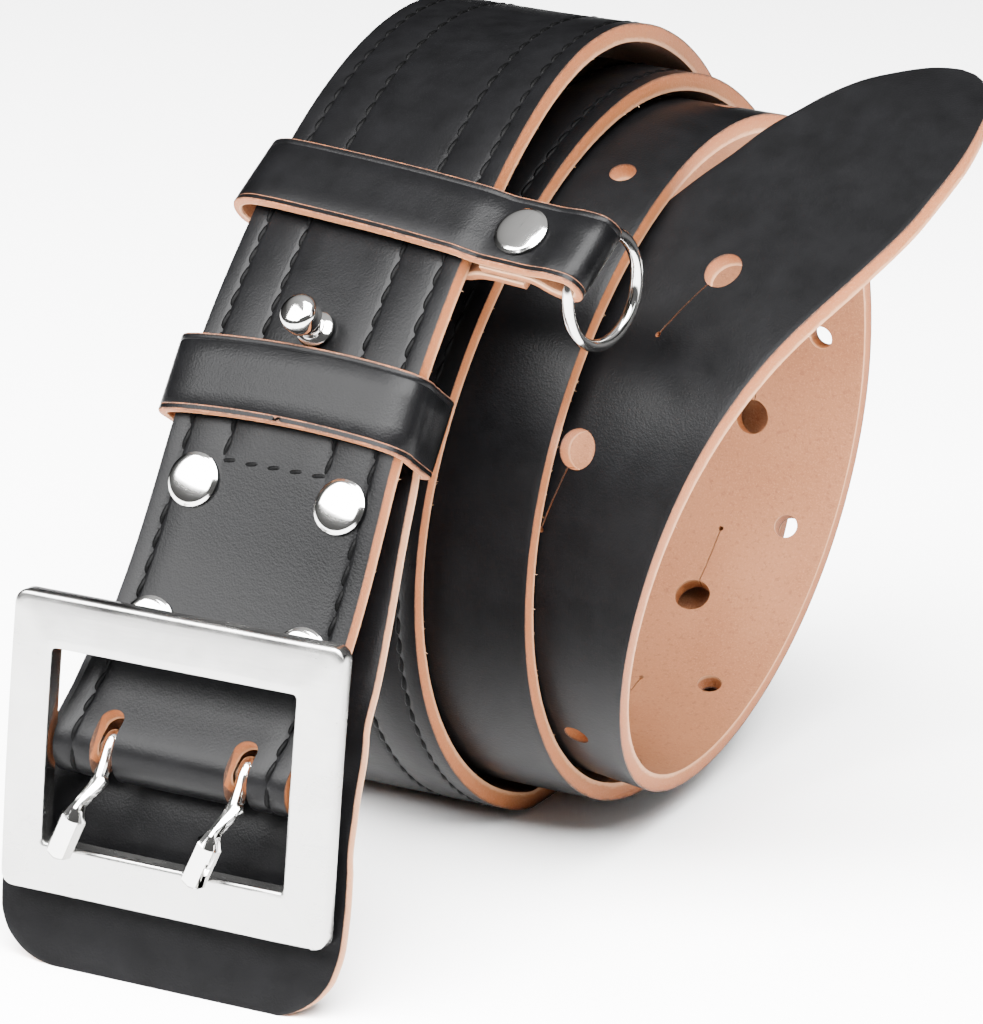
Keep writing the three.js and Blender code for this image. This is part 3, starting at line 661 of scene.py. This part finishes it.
def stitched_row(name, across_at, start, end, crosswise=False):
    """One row of the stitch, repeated along the strap or crosswise, with a slight wave."""
    run_axis, side_axis = (0, 1) if crosswise else (1, 0)
    pick_only(stitch)
    bpy.ops.object.duplicate()
    row = new_piece(name)
    if crosswise:
        put_points(row, get_points(row)[:, [1, 0, 2]])
    step = [0.0, 0.0, 0.0]
    step[run_axis] = stitch_pitch * mm
    repeat(row, int((end - start) / stitch_pitch), step)
    points = get_points(row)
    points[:, run_axis] += (start + stitch_pitch / 2) * mm
    points[:, side_axis] += across_at * mm
    points[:, 2] += (strap_thick / 2 - stitch_sunk) * mm
    # The hand of the thread and its uneven pull
    wave = points[:, run_axis] / (stitch_pitch * mm)
    points[:, side_axis] += 0.16 * mm * np.sin(wave * 2 * math.pi) + 0.10 * mm * np.sin(wave * 0.9)
    put_points(row, points)
    return row


thread_rows = []
for k, across_at in enumerate(stitch_rows):
    start = fold_at + (cross_stitch if abs(across_at) < inner_rows_within else outer_rows_from)
    thread_rows.append(stitched_row(f"row_{k}", across_at, start, stitches_end))
thread_rows.append(stitched_row("row_across", fold_at + cross_stitch, -cross_half, cross_half, True))
pick_only(*thread_rows)
bpy.ops.object.join()
thread = new_piece("strap_stitching")
bpy.data.objects.remove(stitch)
# The stitches under a rivet's head are left out
rivet_spots = [(side * rivet_side, fold_at + up) for up in rivet_rows.values() for side in both_sides]
mark(thread, "VERT", lambda v: any(
    math.hypot(v.co.x / mm - x, v.co.y / mm - y) < rivet_clear for x, y in rivet_spots))
bpy.ops.mesh.select_linked()
bpy.ops.mesh.delete(type="VERT")
leave_edit()
put_points(thread, on_strap(get_points(thread)))


def waxed_thread():
    """Black thread, nearly dull, with the fine lumps of its twist."""
    f = Finish("waxed_thread")
    twist = f.noise(1800, 3, 0.6)
    colour = f.ramp(twist, (0.4, (0.0003, 0.0003, 0.0003)), (0.68, (0.0011, 0.0011, 0.0012)))
    bump = f.bump(twist, 0.5, 0.0002)
    return f.set(Base_Color=colour, Roughness=0.5, Specular_IOR_Level=0.03, Normal=bump)


complete(thread, "belt", "black_leather", [], waxed_thread(), angle=60)

# The flap is a wide backing of 3 mm leather behind the buckle, from under the lower loop down to the floor.
# Its lower corners are cut round, and its pale edge shows beside the buckle.
flap_thick = 3.0
# up the strap from its fold, behind it
flap_behind = [(72, 8), (64, 8), (56, 8), (48, 8), (40, 8), (32, 8), (24, 8.2)]
# along, out and shift beside the bar
flap_fold = [(16, -6.4, 1.6), (8, -7.6, 0.8), (0, -8.4, 0)]
# place from front to back, height
flap_foot = [(-132, 29), (-134.9, 18), (-136.7, 11), (-139, 4), (-140.6, -2.4)]
flap_foot_shift = -0.7
# back from the lower edge, half width
flap_shape = np.array([
    (0, 21), (1, 26.7), (3, 30.7), (6, 33.9), (10, 35.9), (16, 36.7), (30, 35.9), (51, 32), (73, 28.6),
    (93, 26.3), (107, 25.2), (117, 22.4), (128, 21)], float)
bar_way = np.array([math.cos(math.radians(buckle_yaw)), math.sin(math.radians(buckle_yaw)), 0])
flap_knots = []
flap_sides = []
for up, behind in flap_behind:
    flap_knots.append(at_station(fold_at + up, place) - at_station(fold_at + up, outward) * behind)
    flap_sides.append(at_station(fold_at + up, across))
for a, o, x in flap_fold:
    flap_knots.append(beside_bar(a, o, x))
    flap_sides.append(bar_way)
for y, z in flap_foot:
    flap_knots.append(np.array([bar_centre[0] + flap_foot_shift, y, z]))
    flap_sides.append(bar_way)
flap_line = curve_through(flap_knots)
flap_points = flap_line(share)
flap_run = lengths_along(flap_points)
flap_length = flap_run[-1]
flap_way = unit(np.gradient(flap_points, axis=0)) * -1
flap_across = between(share * (len(flap_knots) - 1), np.arange(len(flap_knots)), flap_sides)
flap_across = unit(flap_across - flap_way * (flap_across * flap_way).sum(1, keepdims=True))
flap_outward = np.cross(flap_across, flap_way)


def on_flap(flat):
    """Takes points of the flat flap, across, back and above its middle in metres, to their place."""
    w, back, n = (flat[:, k] / mm for k in range(3))
    tracks = (flap_points, flap_across, flap_outward)
    middle, side, out = (between(flap_length - back, flap_run, track) for track in tracks)
    return settled(middle + side * w[:, None] + out * n[:, None])


def back_on_flap(up):
    """How far back from its lower edge the flap lies behind a place on the strap."""
    middle, way = (at_station(fold_at + up, track) for track in (place, along))
    return flap_length - flap_run[np.argmin(np.abs((flap_points - middle) @ way))]


flap_sheet_half = 25.0
flap_columns = np.linspace(-1, 1, 25) * flap_sheet_half
flap_rows = np.concatenate([24 * np.linspace(0, 1, 26) ** 1.6, np.linspace(26, flap_length, 40)])
flap = grid_sheet("flap_leather", flap_columns, flap_rows)
points = get_points(flap)
points[:, 0] *= steady_through(flap_shape, points[:, 1] / mm) / flap_sheet_half
put_points(flap, points)
thicken(flap, flap_thick, 0.45)
pick_only()
cut_out(flap, [
    punch(rivet_hole, side * rivet_side, back_on_flap(up))
    for up in rivet_rows.values() for side in both_sides])
lay_out(flap)
put_points(flap, on_flap(get_points(flap)))
# Its lower edge is trimmed level where it stands on the floor
mark(flap, "FACE", lambda face: True)
bpy.ops.mesh.bisect(plane_co=(0, 0, 0), plane_no=(0, 0, -1), use_fill=True, clear_outer=True, threshold=1e-7)
leave_edit()
flap_edge = cut_leather(
    "pale_cut_edge", flap_thick, (0.22, 0.085, 0.033), (0.27, 0.125, 0.058), (0.38, 0.225, 0.14))
complete(flap, "belt", "black_leather", ["flap"], black_grain, tan_flesh, flap_edge)

# The buckle is a rectangular frame of nickel-plated steel, soft at its outer edge and crisp at its window.
# A round bar behind it, soldered on two lugs, carries the folded strap and the prongs.
bar_radius = 2.0
frame_tilt = math.radians(86)
frame_width, frame_height = 70.0, 59.0
window_width, window_height = 52.0, 38.4
bar_setback = 5.0
frame_arch = 0.6
frame_corner = 2.6
corner_growth, least_corner = 0.18, 1
lug_side, lug_out, lug_size, lug_round = 29, 1.4, (4, 6, 7.2), 2.2
frame_up = np.array([0, math.cos(frame_tilt), math.sin(frame_tilt)])
frame_across = unit(bar_way - frame_up * (bar_way @ frame_up))
frame_out = np.cross(frame_across, frame_up)
# grow, out: walked from the back of the outer edge round the front to the back of the window
frame_section = [
    (-0.4, -2.2), (-0.1, -2.05), (0, -1.75), (0, 1.12), (-0.05, 1.4), (-0.2, 1.64), (-0.45, 1.8),
    (-0.85, 1.9), (-1.5, 1.95), (-3.2, 2.02), (-5.4, 2.1), (-7.4, 2.18), (-8.2, 2.2), (-8.6, 2.12),
    (-8.86, 1.94), (-8.98, 1.66), (-9, 1.4), (-9, -1.9), (-8.8, -2.2),
]


def on_buckle(points):
    """A fitting function for things built round the bar with X across, Y up the frame and Z out of it."""
    p = np.asarray(points, float)
    return settled(bar_centre + p[..., :1] * frame_across + p[..., 1:2] * frame_up + p[..., 2:3] * frame_out)


def drawn_out(name, rings, closed=False):
    """The first ring is extruded to the others in turn. Closed, its two ends are bridged."""
    pick_only()
    count = len(rings[0])
    bpy.ops.mesh.primitive_circle_add(vertices=count, radius=1, fill_type="NGON")
    piece = new_piece(name)
    bpy.ops.object.mode_set(mode="EDIT")
    bpy.ops.mesh.select_mode(type="FACE")
    bpy.ops.mesh.select_all(action="SELECT")
    for k, ring in enumerate(rings):
        if k:
            bpy.ops.mesh.extrude_region_move(TRANSFORM_OT_translate={"value": (0, 0, 1)})
        shape = bmesh.from_edit_mesh(piece.data)
        shape.verts.ensure_lookup_table()
        for vert, at in zip(shape.verts[-count:], ring):
            vert.co = at
    bmesh.update_edit_mesh(piece.data)
    if closed:
        bpy.ops.mesh.delete(type="ONLY_FACE")
        leave_edit()
        mark(piece, "FACE", lambda face: len(face.verts) == count)
        bpy.ops.mesh.delete(type="ONLY_FACE")
        leave_edit()
        mark(piece, "EDGE", lambda e: len(e.link_faces) < 2)
        bpy.ops.mesh.bridge_edge_loops(type="SINGLE")
    bpy.ops.mesh.select_all(action="SELECT")
    bpy.ops.mesh.normals_make_consistent(inside=False)
    leave_edit()
    return piece


def rounded_rectangle(width, height, radius, per_corner=7, per_side=7):
    """Points round a rectangle with round corners, with more along its sides so that it can be arched."""
    corners = ((1, -1, -90), (1, 1, 0), (-1, 1, 90), (-1, -1, 180))
    arcs = []
    for sx, sy, start in corners:
        turn = np.radians(start + 90 * np.linspace(0, 1, per_corner))
        centre = np.array([sx * (width / 2 - radius), sy * (height / 2 - radius)])
        arcs.append(centre + radius * np.stack([np.cos(turn), np.sin(turn)], 1))
    points = []
    for arc, after in zip(arcs, arcs[1:] + arcs[:1]):
        points += [*arc]
        points += [arc[-1] + (after[0] - arc[-1]) * k / (per_side + 1) for k in range(1, per_side + 1)]
    return np.array(points)


rings = []
for grow, out in frame_section:
    radius = max(frame_corner + grow * corner_growth, least_corner)
    height = frame_height + 2 * grow * (frame_height - window_height) / (frame_width - window_width)
    flat = rounded_rectangle(frame_width + 2 * grow, height, radius)
    arch = -frame_arch * (flat[:, 1] / (frame_height / 2)) ** 2
    rings.append(on_buckle(np.stack([flat[:, 0], flat[:, 1], bar_setback + out + arch], 1)))
buckle = drawn_out("buckle_frame", rings, closed=True)


def placed(piece, to_place):
    """Applies a piece's own place and turn, and puts its points where a fitting function says."""
    pick_only(piece)
    bpy.ops.object.transform_apply()
    put_points(piece, to_place(get_points(piece)))
    return piece


lugs = []
for side in both_sides:
    pick_only()
    bpy.ops.mesh.primitive_cube_add(size=1, location=(side * lug_side, 0, lug_out), scale=lug_size)
    lug = bpy.context.object
    bpy.ops.object.transform_apply()
    mark(lug, "EDGE", lambda e: abs(e.verts[0].co.x - e.verts[1].co.x) > 1 and e.verts[0].co.z < 0)
    bpy.ops.mesh.bevel(offset=lug_round, segments=6, affect="EDGES")
    leave_edit()
    lugs.append(placed(lug, on_buckle))
pick_only()
bpy.ops.mesh.primitive_cylinder_add(
    vertices=40, radius=bar_radius, depth=window_width + 7, rotation=(0, math.pi / 2, 0))
# The bar and its lugs are soldered to the frame, into one closed skin
for part in (placed(bpy.context.object, on_buckle), *lugs):
    combine(buckle, part, "UNION")


def plated(name, roughness, tint, scratch):
    """Bright nickel plate: its polish is a little uneven, with hairline scratches from wear."""
    f = Finish(name)
    haze = f.noise(70, 4, 0.6)
    hair = f.noise(900, 3, 0.7, None, (0.12, 1.0, 1.6))
    wear = f.sum(haze, f.sum(hair, 0.35, "MULTIPLY"))
    rough = f.ramp(wear, (0.4, roughness * 0.75), (0.9, roughness * 1.5 + 0.02))
    colour = f.mix(f.ramp(haze, (0.35, 0.0), (0.7, 1.0)), (*tint, 1), (*[c * 0.95 for c in tint], 1))
    bump = f.bump(f.sum(hair, haze), scratch, 0.00003)
    return f.set(Base_Color=colour, Metallic=1.0, Roughness=rough, Normal=bump)


satin_nickel = plated("satin_nickel", 0.20, (0.335, 0.332, 0.323), 0.12)
bright_nickel = plated("bright_nickel", 0.07, (0.62, 0.612, 0.595), 0.05)
complete(buckle, "belt", "nickel_plate", ["buckle"], satin_nickel, angle=28)

# Each prong is bent from steel rod: an eye turned round the bar, a kink over the fold, a thick chamfered end.
# It lies over the lower part of the frame and swings up on the bar.
eye_gap = 0.35
eye_wire = 0.85
eye_stretch = 1.75
half_facet = 22.5
# up, out, side, half width, half thickness, chamfer
prong_rod = [
    (2.8, 2.3, 0.1, 0.85, 0.7, 0), (2.2, 2.75, 0.1, 1.2, 0.95, 0), (0.8, 3.4, 0.1, 1.35, 1.1, 0),
    (-1.6, 4.2, 0, 1.45, 1.35, 0), (-4.4, 5.6, -0.1, 1.55, 1.5, 0), (-5.2, 6.5, 0.1, 1.95, 1.3, 0.5),
    (-5.9, 7.4, -0.1, 1.75, 1.15, 0.8), (-7.4, 9.2, -0.8, 1.35, 1.15, 0.9), (-8.9, 10.9, -1.3, 1.3, 1.3, 0.9),
    (-9.7, 11.5, -1.5, 1.6, 1.75, 1), (-11, 11.9, -1.9, 2.45, 2.1, 1), (-19.3, 9.7, -6.0, 2.45, 2.1, 1),
    (-20, 9.5, -6.3, 1.9, 1.6, 1),
]


def shifted(fit, across_at):
    return lambda points: fit(points + np.array([across_at, 0, 0]))


def make_prong(name, side_at):
    """The rod is drawn out through its rows, round or eight-sided by their chamfer, and joined to its eye."""
    rod = np.array(prong_rod)
    ways = unit(np.gradient(rod[:, [2, 0, 1]], axis=0))
    rings = []
    for (up, out, side, wide, thick, chamfer), way in zip(rod, ways):
        flat = unit(np.array([1.0, 0, 0]) - way * way[0])
        front = np.cross(flat, way)
        turn = np.radians(-half_facet * np.arange(16) - half_facet)
        facet = np.cos(np.radians(half_facet)) / np.cos((turn % np.radians(45)) - np.radians(half_facet))
        reach = 1 + chamfer * (facet * 1.06 - 1)
        ring = np.array([side_at + side, up, out]) + np.outer(np.cos(turn) * reach * wide, flat)
        rings.append(on_buckle(ring + np.outer(np.sin(turn) * reach * thick, front)))
    prong = drawn_out(name, rings)
    pick_only()
    bpy.ops.mesh.primitive_torus_add(
        major_radius=bar_radius + eye_gap + eye_wire, minor_radius=eye_wire,
        major_segments=40, minor_segments=14, rotation=(0, math.pi / 2, 0))
    eye = bpy.context.object
    eye.scale = (1, 1, eye_stretch)
    combine(prong, placed(eye, shifted(on_buckle, side_at)), "UNION")
    return prong


labelled_sides = (("left", -1), ("right", 1))
for label, side in labelled_sides:
    prong = make_prong(f"prong_{label}_rod", side * prong_side)
    complete(prong, f"{label}_prong", "nickel_plate", [f"prong_{label}"], bright_nickel, angle=30)

# Two narrow loops of 2 mm leather go round the strap, with a pressed crease near each edge.
# The upper one runs past the belt's edge, where its ends are riveted to make an ear for the ring.
band_thick = 2.0
lower_loop_up = 72.2
lower_loop_bow = 1.5
bow_half = 29
# across the strap, out of it: the middle of the band's thickness
lower_path = [
    (0, 4.6), (14, 4.4), (22.6, 3.9), (25.4, 3), (26.6, 1.2), (26.8, -1.4), (26.4, -5), (26.1, -8.6),
    (25.7, -10.7), (24.4, -11.6), (20, -11.7), (0, -11.7), (-22, -11.7), (-26.4, -11.5), (-28.2, -10.4),
    (-28.6, -8), (-28.6, -2), (-28.4, 0.9), (-27, 2.9), (-23.6, 3.9), (-14, 4.4),
]
upper_loop_up = 115.3
upper_loop_skew = math.radians(-9)
ear_across, ear_radius, ear_rivet = 50.2, 2.9, 36.9
upper_path = [(30.5, 0), (36, 0), (41.8, 0), (43.6, -0.5), (45.4, -1.7), (47.4, -2.6)]
for angle in np.radians(np.linspace(-90, 90, 9)):
    upper_path.append((ear_across + ear_radius * math.cos(angle), ear_radius * math.sin(angle)))
upper_path += [
    (47, 3), (44.5, 2.7), (42, 2.4), (36, 2.4), (31, 2.4), (28, 2.9), (25, 3.5), (21, 3.8), (10, 4.4),
    (0, 4.6), (-10, 4.6), (-20, 4.4), (-25, 3.8), (-28.2, 2.2), (-29.6, -0.3), (-29.3, -2.9),
    (-27.3, -4.5), (-22, -5), (0, -5), (22, -4.7), (25.5, -4.2), (28.5, -3), (31.5, -2.4), (40, -2.4),
]
# along the strap, through the leather: round one section of the band, grain side first
band_section = [
    (-7.6, 1), (-6.8, 1), (-6.55, 0.86), (-6.3, 1), (-3, 1), (3, 1), (6.3, 1), (6.55, 0.86), (6.8, 1),
    (7.6, 1), (7.87, 0.85), (8, 0.5), (8, -0.7), (7.8, -0.95), (7.4, -1), (0, -1), (-7.4, -1),
    (-7.8, -0.95), (-8, -0.7), (-8, 0.5), (-7.87, 0.85),
]
# The numbers of the section's points where the grain side ends and the flesh side starts and ends
grain_last, flesh_first, flesh_last = 9, 14, 16


def strap_frame(s, skew):
    """The strap's middle at a station, and the ways across, out of and along it, turned by a skew."""
    middle, way, side, out = (at_station(s, track) for track in (place, along, across, outward))
    turned_side = side * math.cos(skew) + np.cross(out, side) * math.sin(skew)
    turned_way = way * math.cos(skew) + np.cross(out, way) * math.sin(skew)
    return middle, turned_side, out, turned_way


def across_strap(s, skew):
    """A fitting function for things built with X across the strap, Y out of it and Z up along it."""
    middle, side, out, way = strap_frame(s, skew)

    def fit(points):
        p = np.asarray(points, float)
        return settled(middle + p[..., :1] * side + p[..., 1:2] * out + p[..., 2:3] * way)
    return fit


def even_path(path, closed, steps):
    """A smooth path as evenly spaced points, their directions, and how far along it they lie."""
    path = np.array(path, float)
    if closed:
        line = curve_through(np.vstack([path, path, path]))
        points = line((len(path) + len(path) * np.arange(steps * 4) / (steps * 4)) / (3 * len(path) - 1))
    else:
        points = curve_through(path)(np.linspace(0, 1, steps * 4))
    lengths = lengths_along(points)
    total = lengths[-1] + (np.linalg.norm(points[0] - points[-1]) if closed else 0)
    wanted = np.linspace(0, total, steps, endpoint=not closed)
    points = between(wanted, lengths, points)
    step = np.roll(points, -1, 0) - np.roll(points, 1, 0) if closed else np.gradient(points, axis=0)
    return points, unit(step), wanted


def band_face(face, count):
    """A face's material, by the numbers of its points in the band's section."""
    numbers = [v % count for v in face.vertices]
    low, high = min(numbers), max(numbers)
    if len(numbers) > 4 or high - low > 1 or grain_last <= low < flesh_first or low >= flesh_last:
        return cut
    return grain if low < grain_last else flesh


def make_band(name, path, grain_right, closed, steps, fit, bow=0.0):
    """The section is drawn out along a path round the strap, and the front may bow up along the strap."""
    points, ways, wanted = even_path(path, closed, steps)
    normals = np.stack([ways[:, 1], -ways[:, 0]], 1) * (1 if grain_right else -1)
    section = np.array(band_section)
    rings = []
    for point, normal in zip(points, normals):
        lift = bow * (1 - (point[0] / bow_half) ** 2) if point[1] > 0 else 0
        flat = point + np.outer(section[:, 1], normal)
        rings.append(fit(np.column_stack([flat, section[:, 0] + lift])))
    band = drawn_out(name, rings, closed)
    count = len(band_section)
    layer = band.data.uv_layers.new(name="flat")
    for face in band.data.polygons:
        face.material_index = band_face(face, count)
        for k in face.loop_indices:
            v = band.data.loops[k].vertex_index
            z, q = band_section[v % count]
            layer.data[k].uv = ((q if face.material_index == cut else z) * mm, wanted[v // count] * mm)
    return band


loop_grain = grain_leather("loop_grain", dye_light, dye_dark, 0.33)
loop_edge = cut_leather(
    "loop_cut_edge", band_thick, (0.165, 0.052, 0.016), (0.205, 0.075, 0.028), (0.33, 0.18, 0.10))
lower_loop = make_band(
    "lower_loop_band", lower_path, False, True, 150, across_strap(fold_at + lower_loop_up, 0), lower_loop_bow)
complete(lower_loop, "belt", "loop_leather", ["lower_loop"], loop_grain, tan_flesh, loop_edge)
upper_fit = across_strap(fold_at + upper_loop_up, upper_loop_skew)
upper_loop = make_band("upper_loop_band", upper_path, True, False, 260, upper_fit)
complete(upper_loop, "belt", "loop_leather", ["upper_loop"], loop_grain, tan_flesh, loop_edge)

# The ring is a welded hoop of round wire that hangs in the ear of the upper loop.
# It rides on its own body, so that it can swing.
ring_radius, ring_wire, ring_drop = 11.0, 1.2, 9.6
middle, ear_side, _, ear_way = strap_frame(fold_at + upper_loop_up, upper_loop_skew)
hang = unit(np.array([0, 0, -1.0]) - ear_way * -ear_way[2])
pick_only()
bpy.ops.mesh.primitive_torus_add(
    major_radius=ring_radius, minor_radius=ring_wire, major_segments=96, minor_segments=20)
ring = new_piece("hanging_ring_wire")
centre = middle + ear_side * ear_across + hang * ring_drop
facing = np.cross(hang, ear_way)
placed(ring, lambda p: settled(centre + p[:, :1] * hang + p[:, 1:2] * ear_way + p[:, 2:3] * facing))
complete(ring, "hanging_ring", "nickel_plate", ["ring"], bright_nickel, angle=40)

# Domed rivets with a washer at the back hold strap, turned-back end and flap, and close the upper loop's ear.
# The stud is a turned screw with a ball head. All of them are nickel plated.
flap_back = -9.6
seat_gap = 0.3
head_sunk, washer_out = 0.2, 0.1
ear_seats = (3.5, -3.7)
dome_angles = (12, 24, 36, 48, 58, 68, 76, 84, 89)


def turned(name, profile, fit, sides=48):
    """A piece turned on a lathe: the profile is radius and height, from the foot up."""
    rings = []
    for radius, height in profile:
        turn = 2 * math.pi * np.arange(sides) / sides
        rings.append(fit(np.stack([radius * np.sin(turn), height + 0 * turn, radius * np.cos(turn)], 1)))
    return drawn_out(name, rings)


def rivet_profile(top, bottom):
    """A washer and shank below and a rimmed dome above, each from its seat."""
    foot = [(0.05, -1.1), (2.6, -1.1), (3.5, -0.95), (3.9, -0.7), (4, -0.4), (4, 0), (1.5, 0)]
    dome = [(1.5, 0), (5.15, 0), (5.38, 0.12), (5.45, 0.34), (5.42, 0.6), (5.2, 0.74), (5.06, 0.82)]
    dome += [(5.02 * math.cos(a), 0.84 + 0.5 * math.sin(a)) for a in np.radians(dome_angles)]
    return [(r, bottom + h) for r, h in foot] + [(r, top + h) for r, h in dome]


# radius, height
stud_profile = [
    (0.05, -3.6), (3.6, -3.6), (4.4, -3.45), (4.6, -3.1), (4.6, -2.4), (2, -2.4), (2, 2.4), (3.5, 2.4),
    (3.8, 2.6), (3.8, 3), (3.5, 3.3), (2.9, 3.55), (2.5, 3.8), (2.5, 4.3), (2.15, 4.5), (2.15, 5.2),
    (2.5, 5.4), (2.5, 5.9), (2.2, 6.1), (2.2, 6.6), (2.8, 6.8), (3.5, 7.15), (3.82, 7.6), (3.93, 8.3),
    (3.93, 9.6), (3.85, 10.3), (3.6, 10.9), (3.1, 11.35), (2.5, 11.6), (1.7, 11.74), (0.8, 11.8),
    (0.05, 11.8),
]
stud = turned("stud_turned", stud_profile, across_strap(fold_at + stud_up, 0))
complete(stud, "belt", "nickel_plate", ["stud"], bright_nickel, angle=40)
strap_rivet = rivet_profile(strap_thick / 2 + seat_gap - head_sunk, flap_back - seat_gap - washer_out)
for row, up in rivet_rows.items():
    for label, side in labelled_sides:
        through_strap = shifted(across_strap(fold_at + up, 0), side * rivet_side)
        rivet = turned(f"rivet_{row}_{label}_domed", strap_rivet, through_strap)
        complete(rivet, "belt", "nickel_plate", [f"rivet_{row}_{label}"], bright_nickel, angle=40)
ear_cap = turned("rivet_ear_domed", rivet_profile(*ear_seats), shifted(upper_fit, ear_rivet))
complete(ear_cap, "belt", "nickel_plate", ["rivet_ear"], bright_nickel, angle=40)

# The belt stands on a plain pale table, in a room that is white overhead and dark low down.
# A large soft light is above and in front of it, a smaller one at its front left, a faint one at its right.
pick_only()
bpy.ops.mesh.primitive_plane_add(size=12, location=(0, 0, 0))
table = new_piece("table")
f = Finish("pale_table")
tone = f.ramp(f.noise(3, 2), (0.3, 0.96), (0.7, 0.98))
table.data.materials.append(f.set(Base_Color=tone, Roughness=0.6, Specular_IOR_Level=0.2))


def soft_light(name, size, power, place_at, towards):
    """A rectangular area light that faces a place."""
    pick_only()
    bpy.ops.object.light_add(type="AREA", location=place_at)
    light = bpy.context.object
    light.name = name
    light.data.shape = "RECTANGLE"
    light.data.size, light.data.size_y = size
    light.data.energy = power
    light.rotation_euler = (Vector(place_at) - Vector(towards)).to_track_quat("Z", "Y").to_euler()


soft_light("light_above", (1.8, 1.5), 500, (0.3, -0.8, 1.6), (0, 0, 0.05))
soft_light("light_front_left", (1.0, 0.7), 100, (-0.68, -1.06, 1.0), (0, 0, 0.08))
soft_light("light_right", (0.4, 0.9), 10, (1.5, -0.5, 0.9), (0, 0, 0.08))

world = bpy.data.worlds.new("white_room")
bpy.context.scene.world = world
world.use_nodes = True
nodes, link = world.node_tree.nodes, world.node_tree.links.new
direction = nodes.new("ShaderNodeSeparateXYZ")
link(nodes.new("ShaderNodeTexCoord").outputs["Generated"], direction.inputs[0])
fade = nodes.new("ShaderNodeValToRGB")
link(direction.outputs["Z"], fade.inputs[0])
dark, pale = fade.color_ramp.elements
dark.position, dark.color = 0.5, (0.015, 0.015, 0.016, 1)
pale.position, pale.color = 0.9, (1, 1, 1, 1)
# The room's front half is a little lighter low down than its back half
front = nodes.new("ShaderNodeMapRange")
link(direction.outputs["Y"], front.inputs[0])
for k, value in enumerate((-0.5, 0.3, 0.16, 0.0)):
    front.inputs[k + 1].default_value = value
lighter = nodes.new("ShaderNodeMath")
lighter.operation = "MAXIMUM"
link(fade.outputs[0], lighter.inputs[0])
link(front.outputs[0], lighter.inputs[1])
link(lighter.outputs[0], nodes["Background"].inputs["Color"])
nodes["Background"].inputs["Strength"].default_value = 0.9

# The camera stands where the photograph was taken from, with a long lens, whose focal length is in its pixels
photo_height = 1024
photo_focal = 4500
sensor = 36
camera_azimuth, camera_elevation, camera_roll = 26.9817, 16.9949, 2.2261
camera_distance = 0.9648
camera_target = Vector((-0.0394933, 0.0311547, 0.0592193))
a, e, r = (math.radians(angle) for angle in (camera_azimuth, camera_elevation, camera_roll))
backward = Vector((math.sin(a) * math.cos(e), -math.cos(a) * math.cos(e), math.sin(e)))
right = Vector((math.cos(a), math.sin(a), 0))
upward = Vector((-math.sin(a) * math.sin(e), math.cos(a) * math.sin(e), math.cos(e)))
right, upward = right * math.cos(r) + upward * math.sin(r), upward * math.cos(r) - right * math.sin(r)
bpy.ops.object.camera_add(location=camera_target + backward * camera_distance)
camera = bpy.context.object
camera.rotation_euler = Matrix((right, upward, backward)).transposed().to_euler()
camera.data.sensor_width = sensor
camera.data.lens = photo_focal * sensor / photo_height
camera.data.clip_start, camera.data.clip_end = 0.05, 50
bpy.context.scene.camera = camera
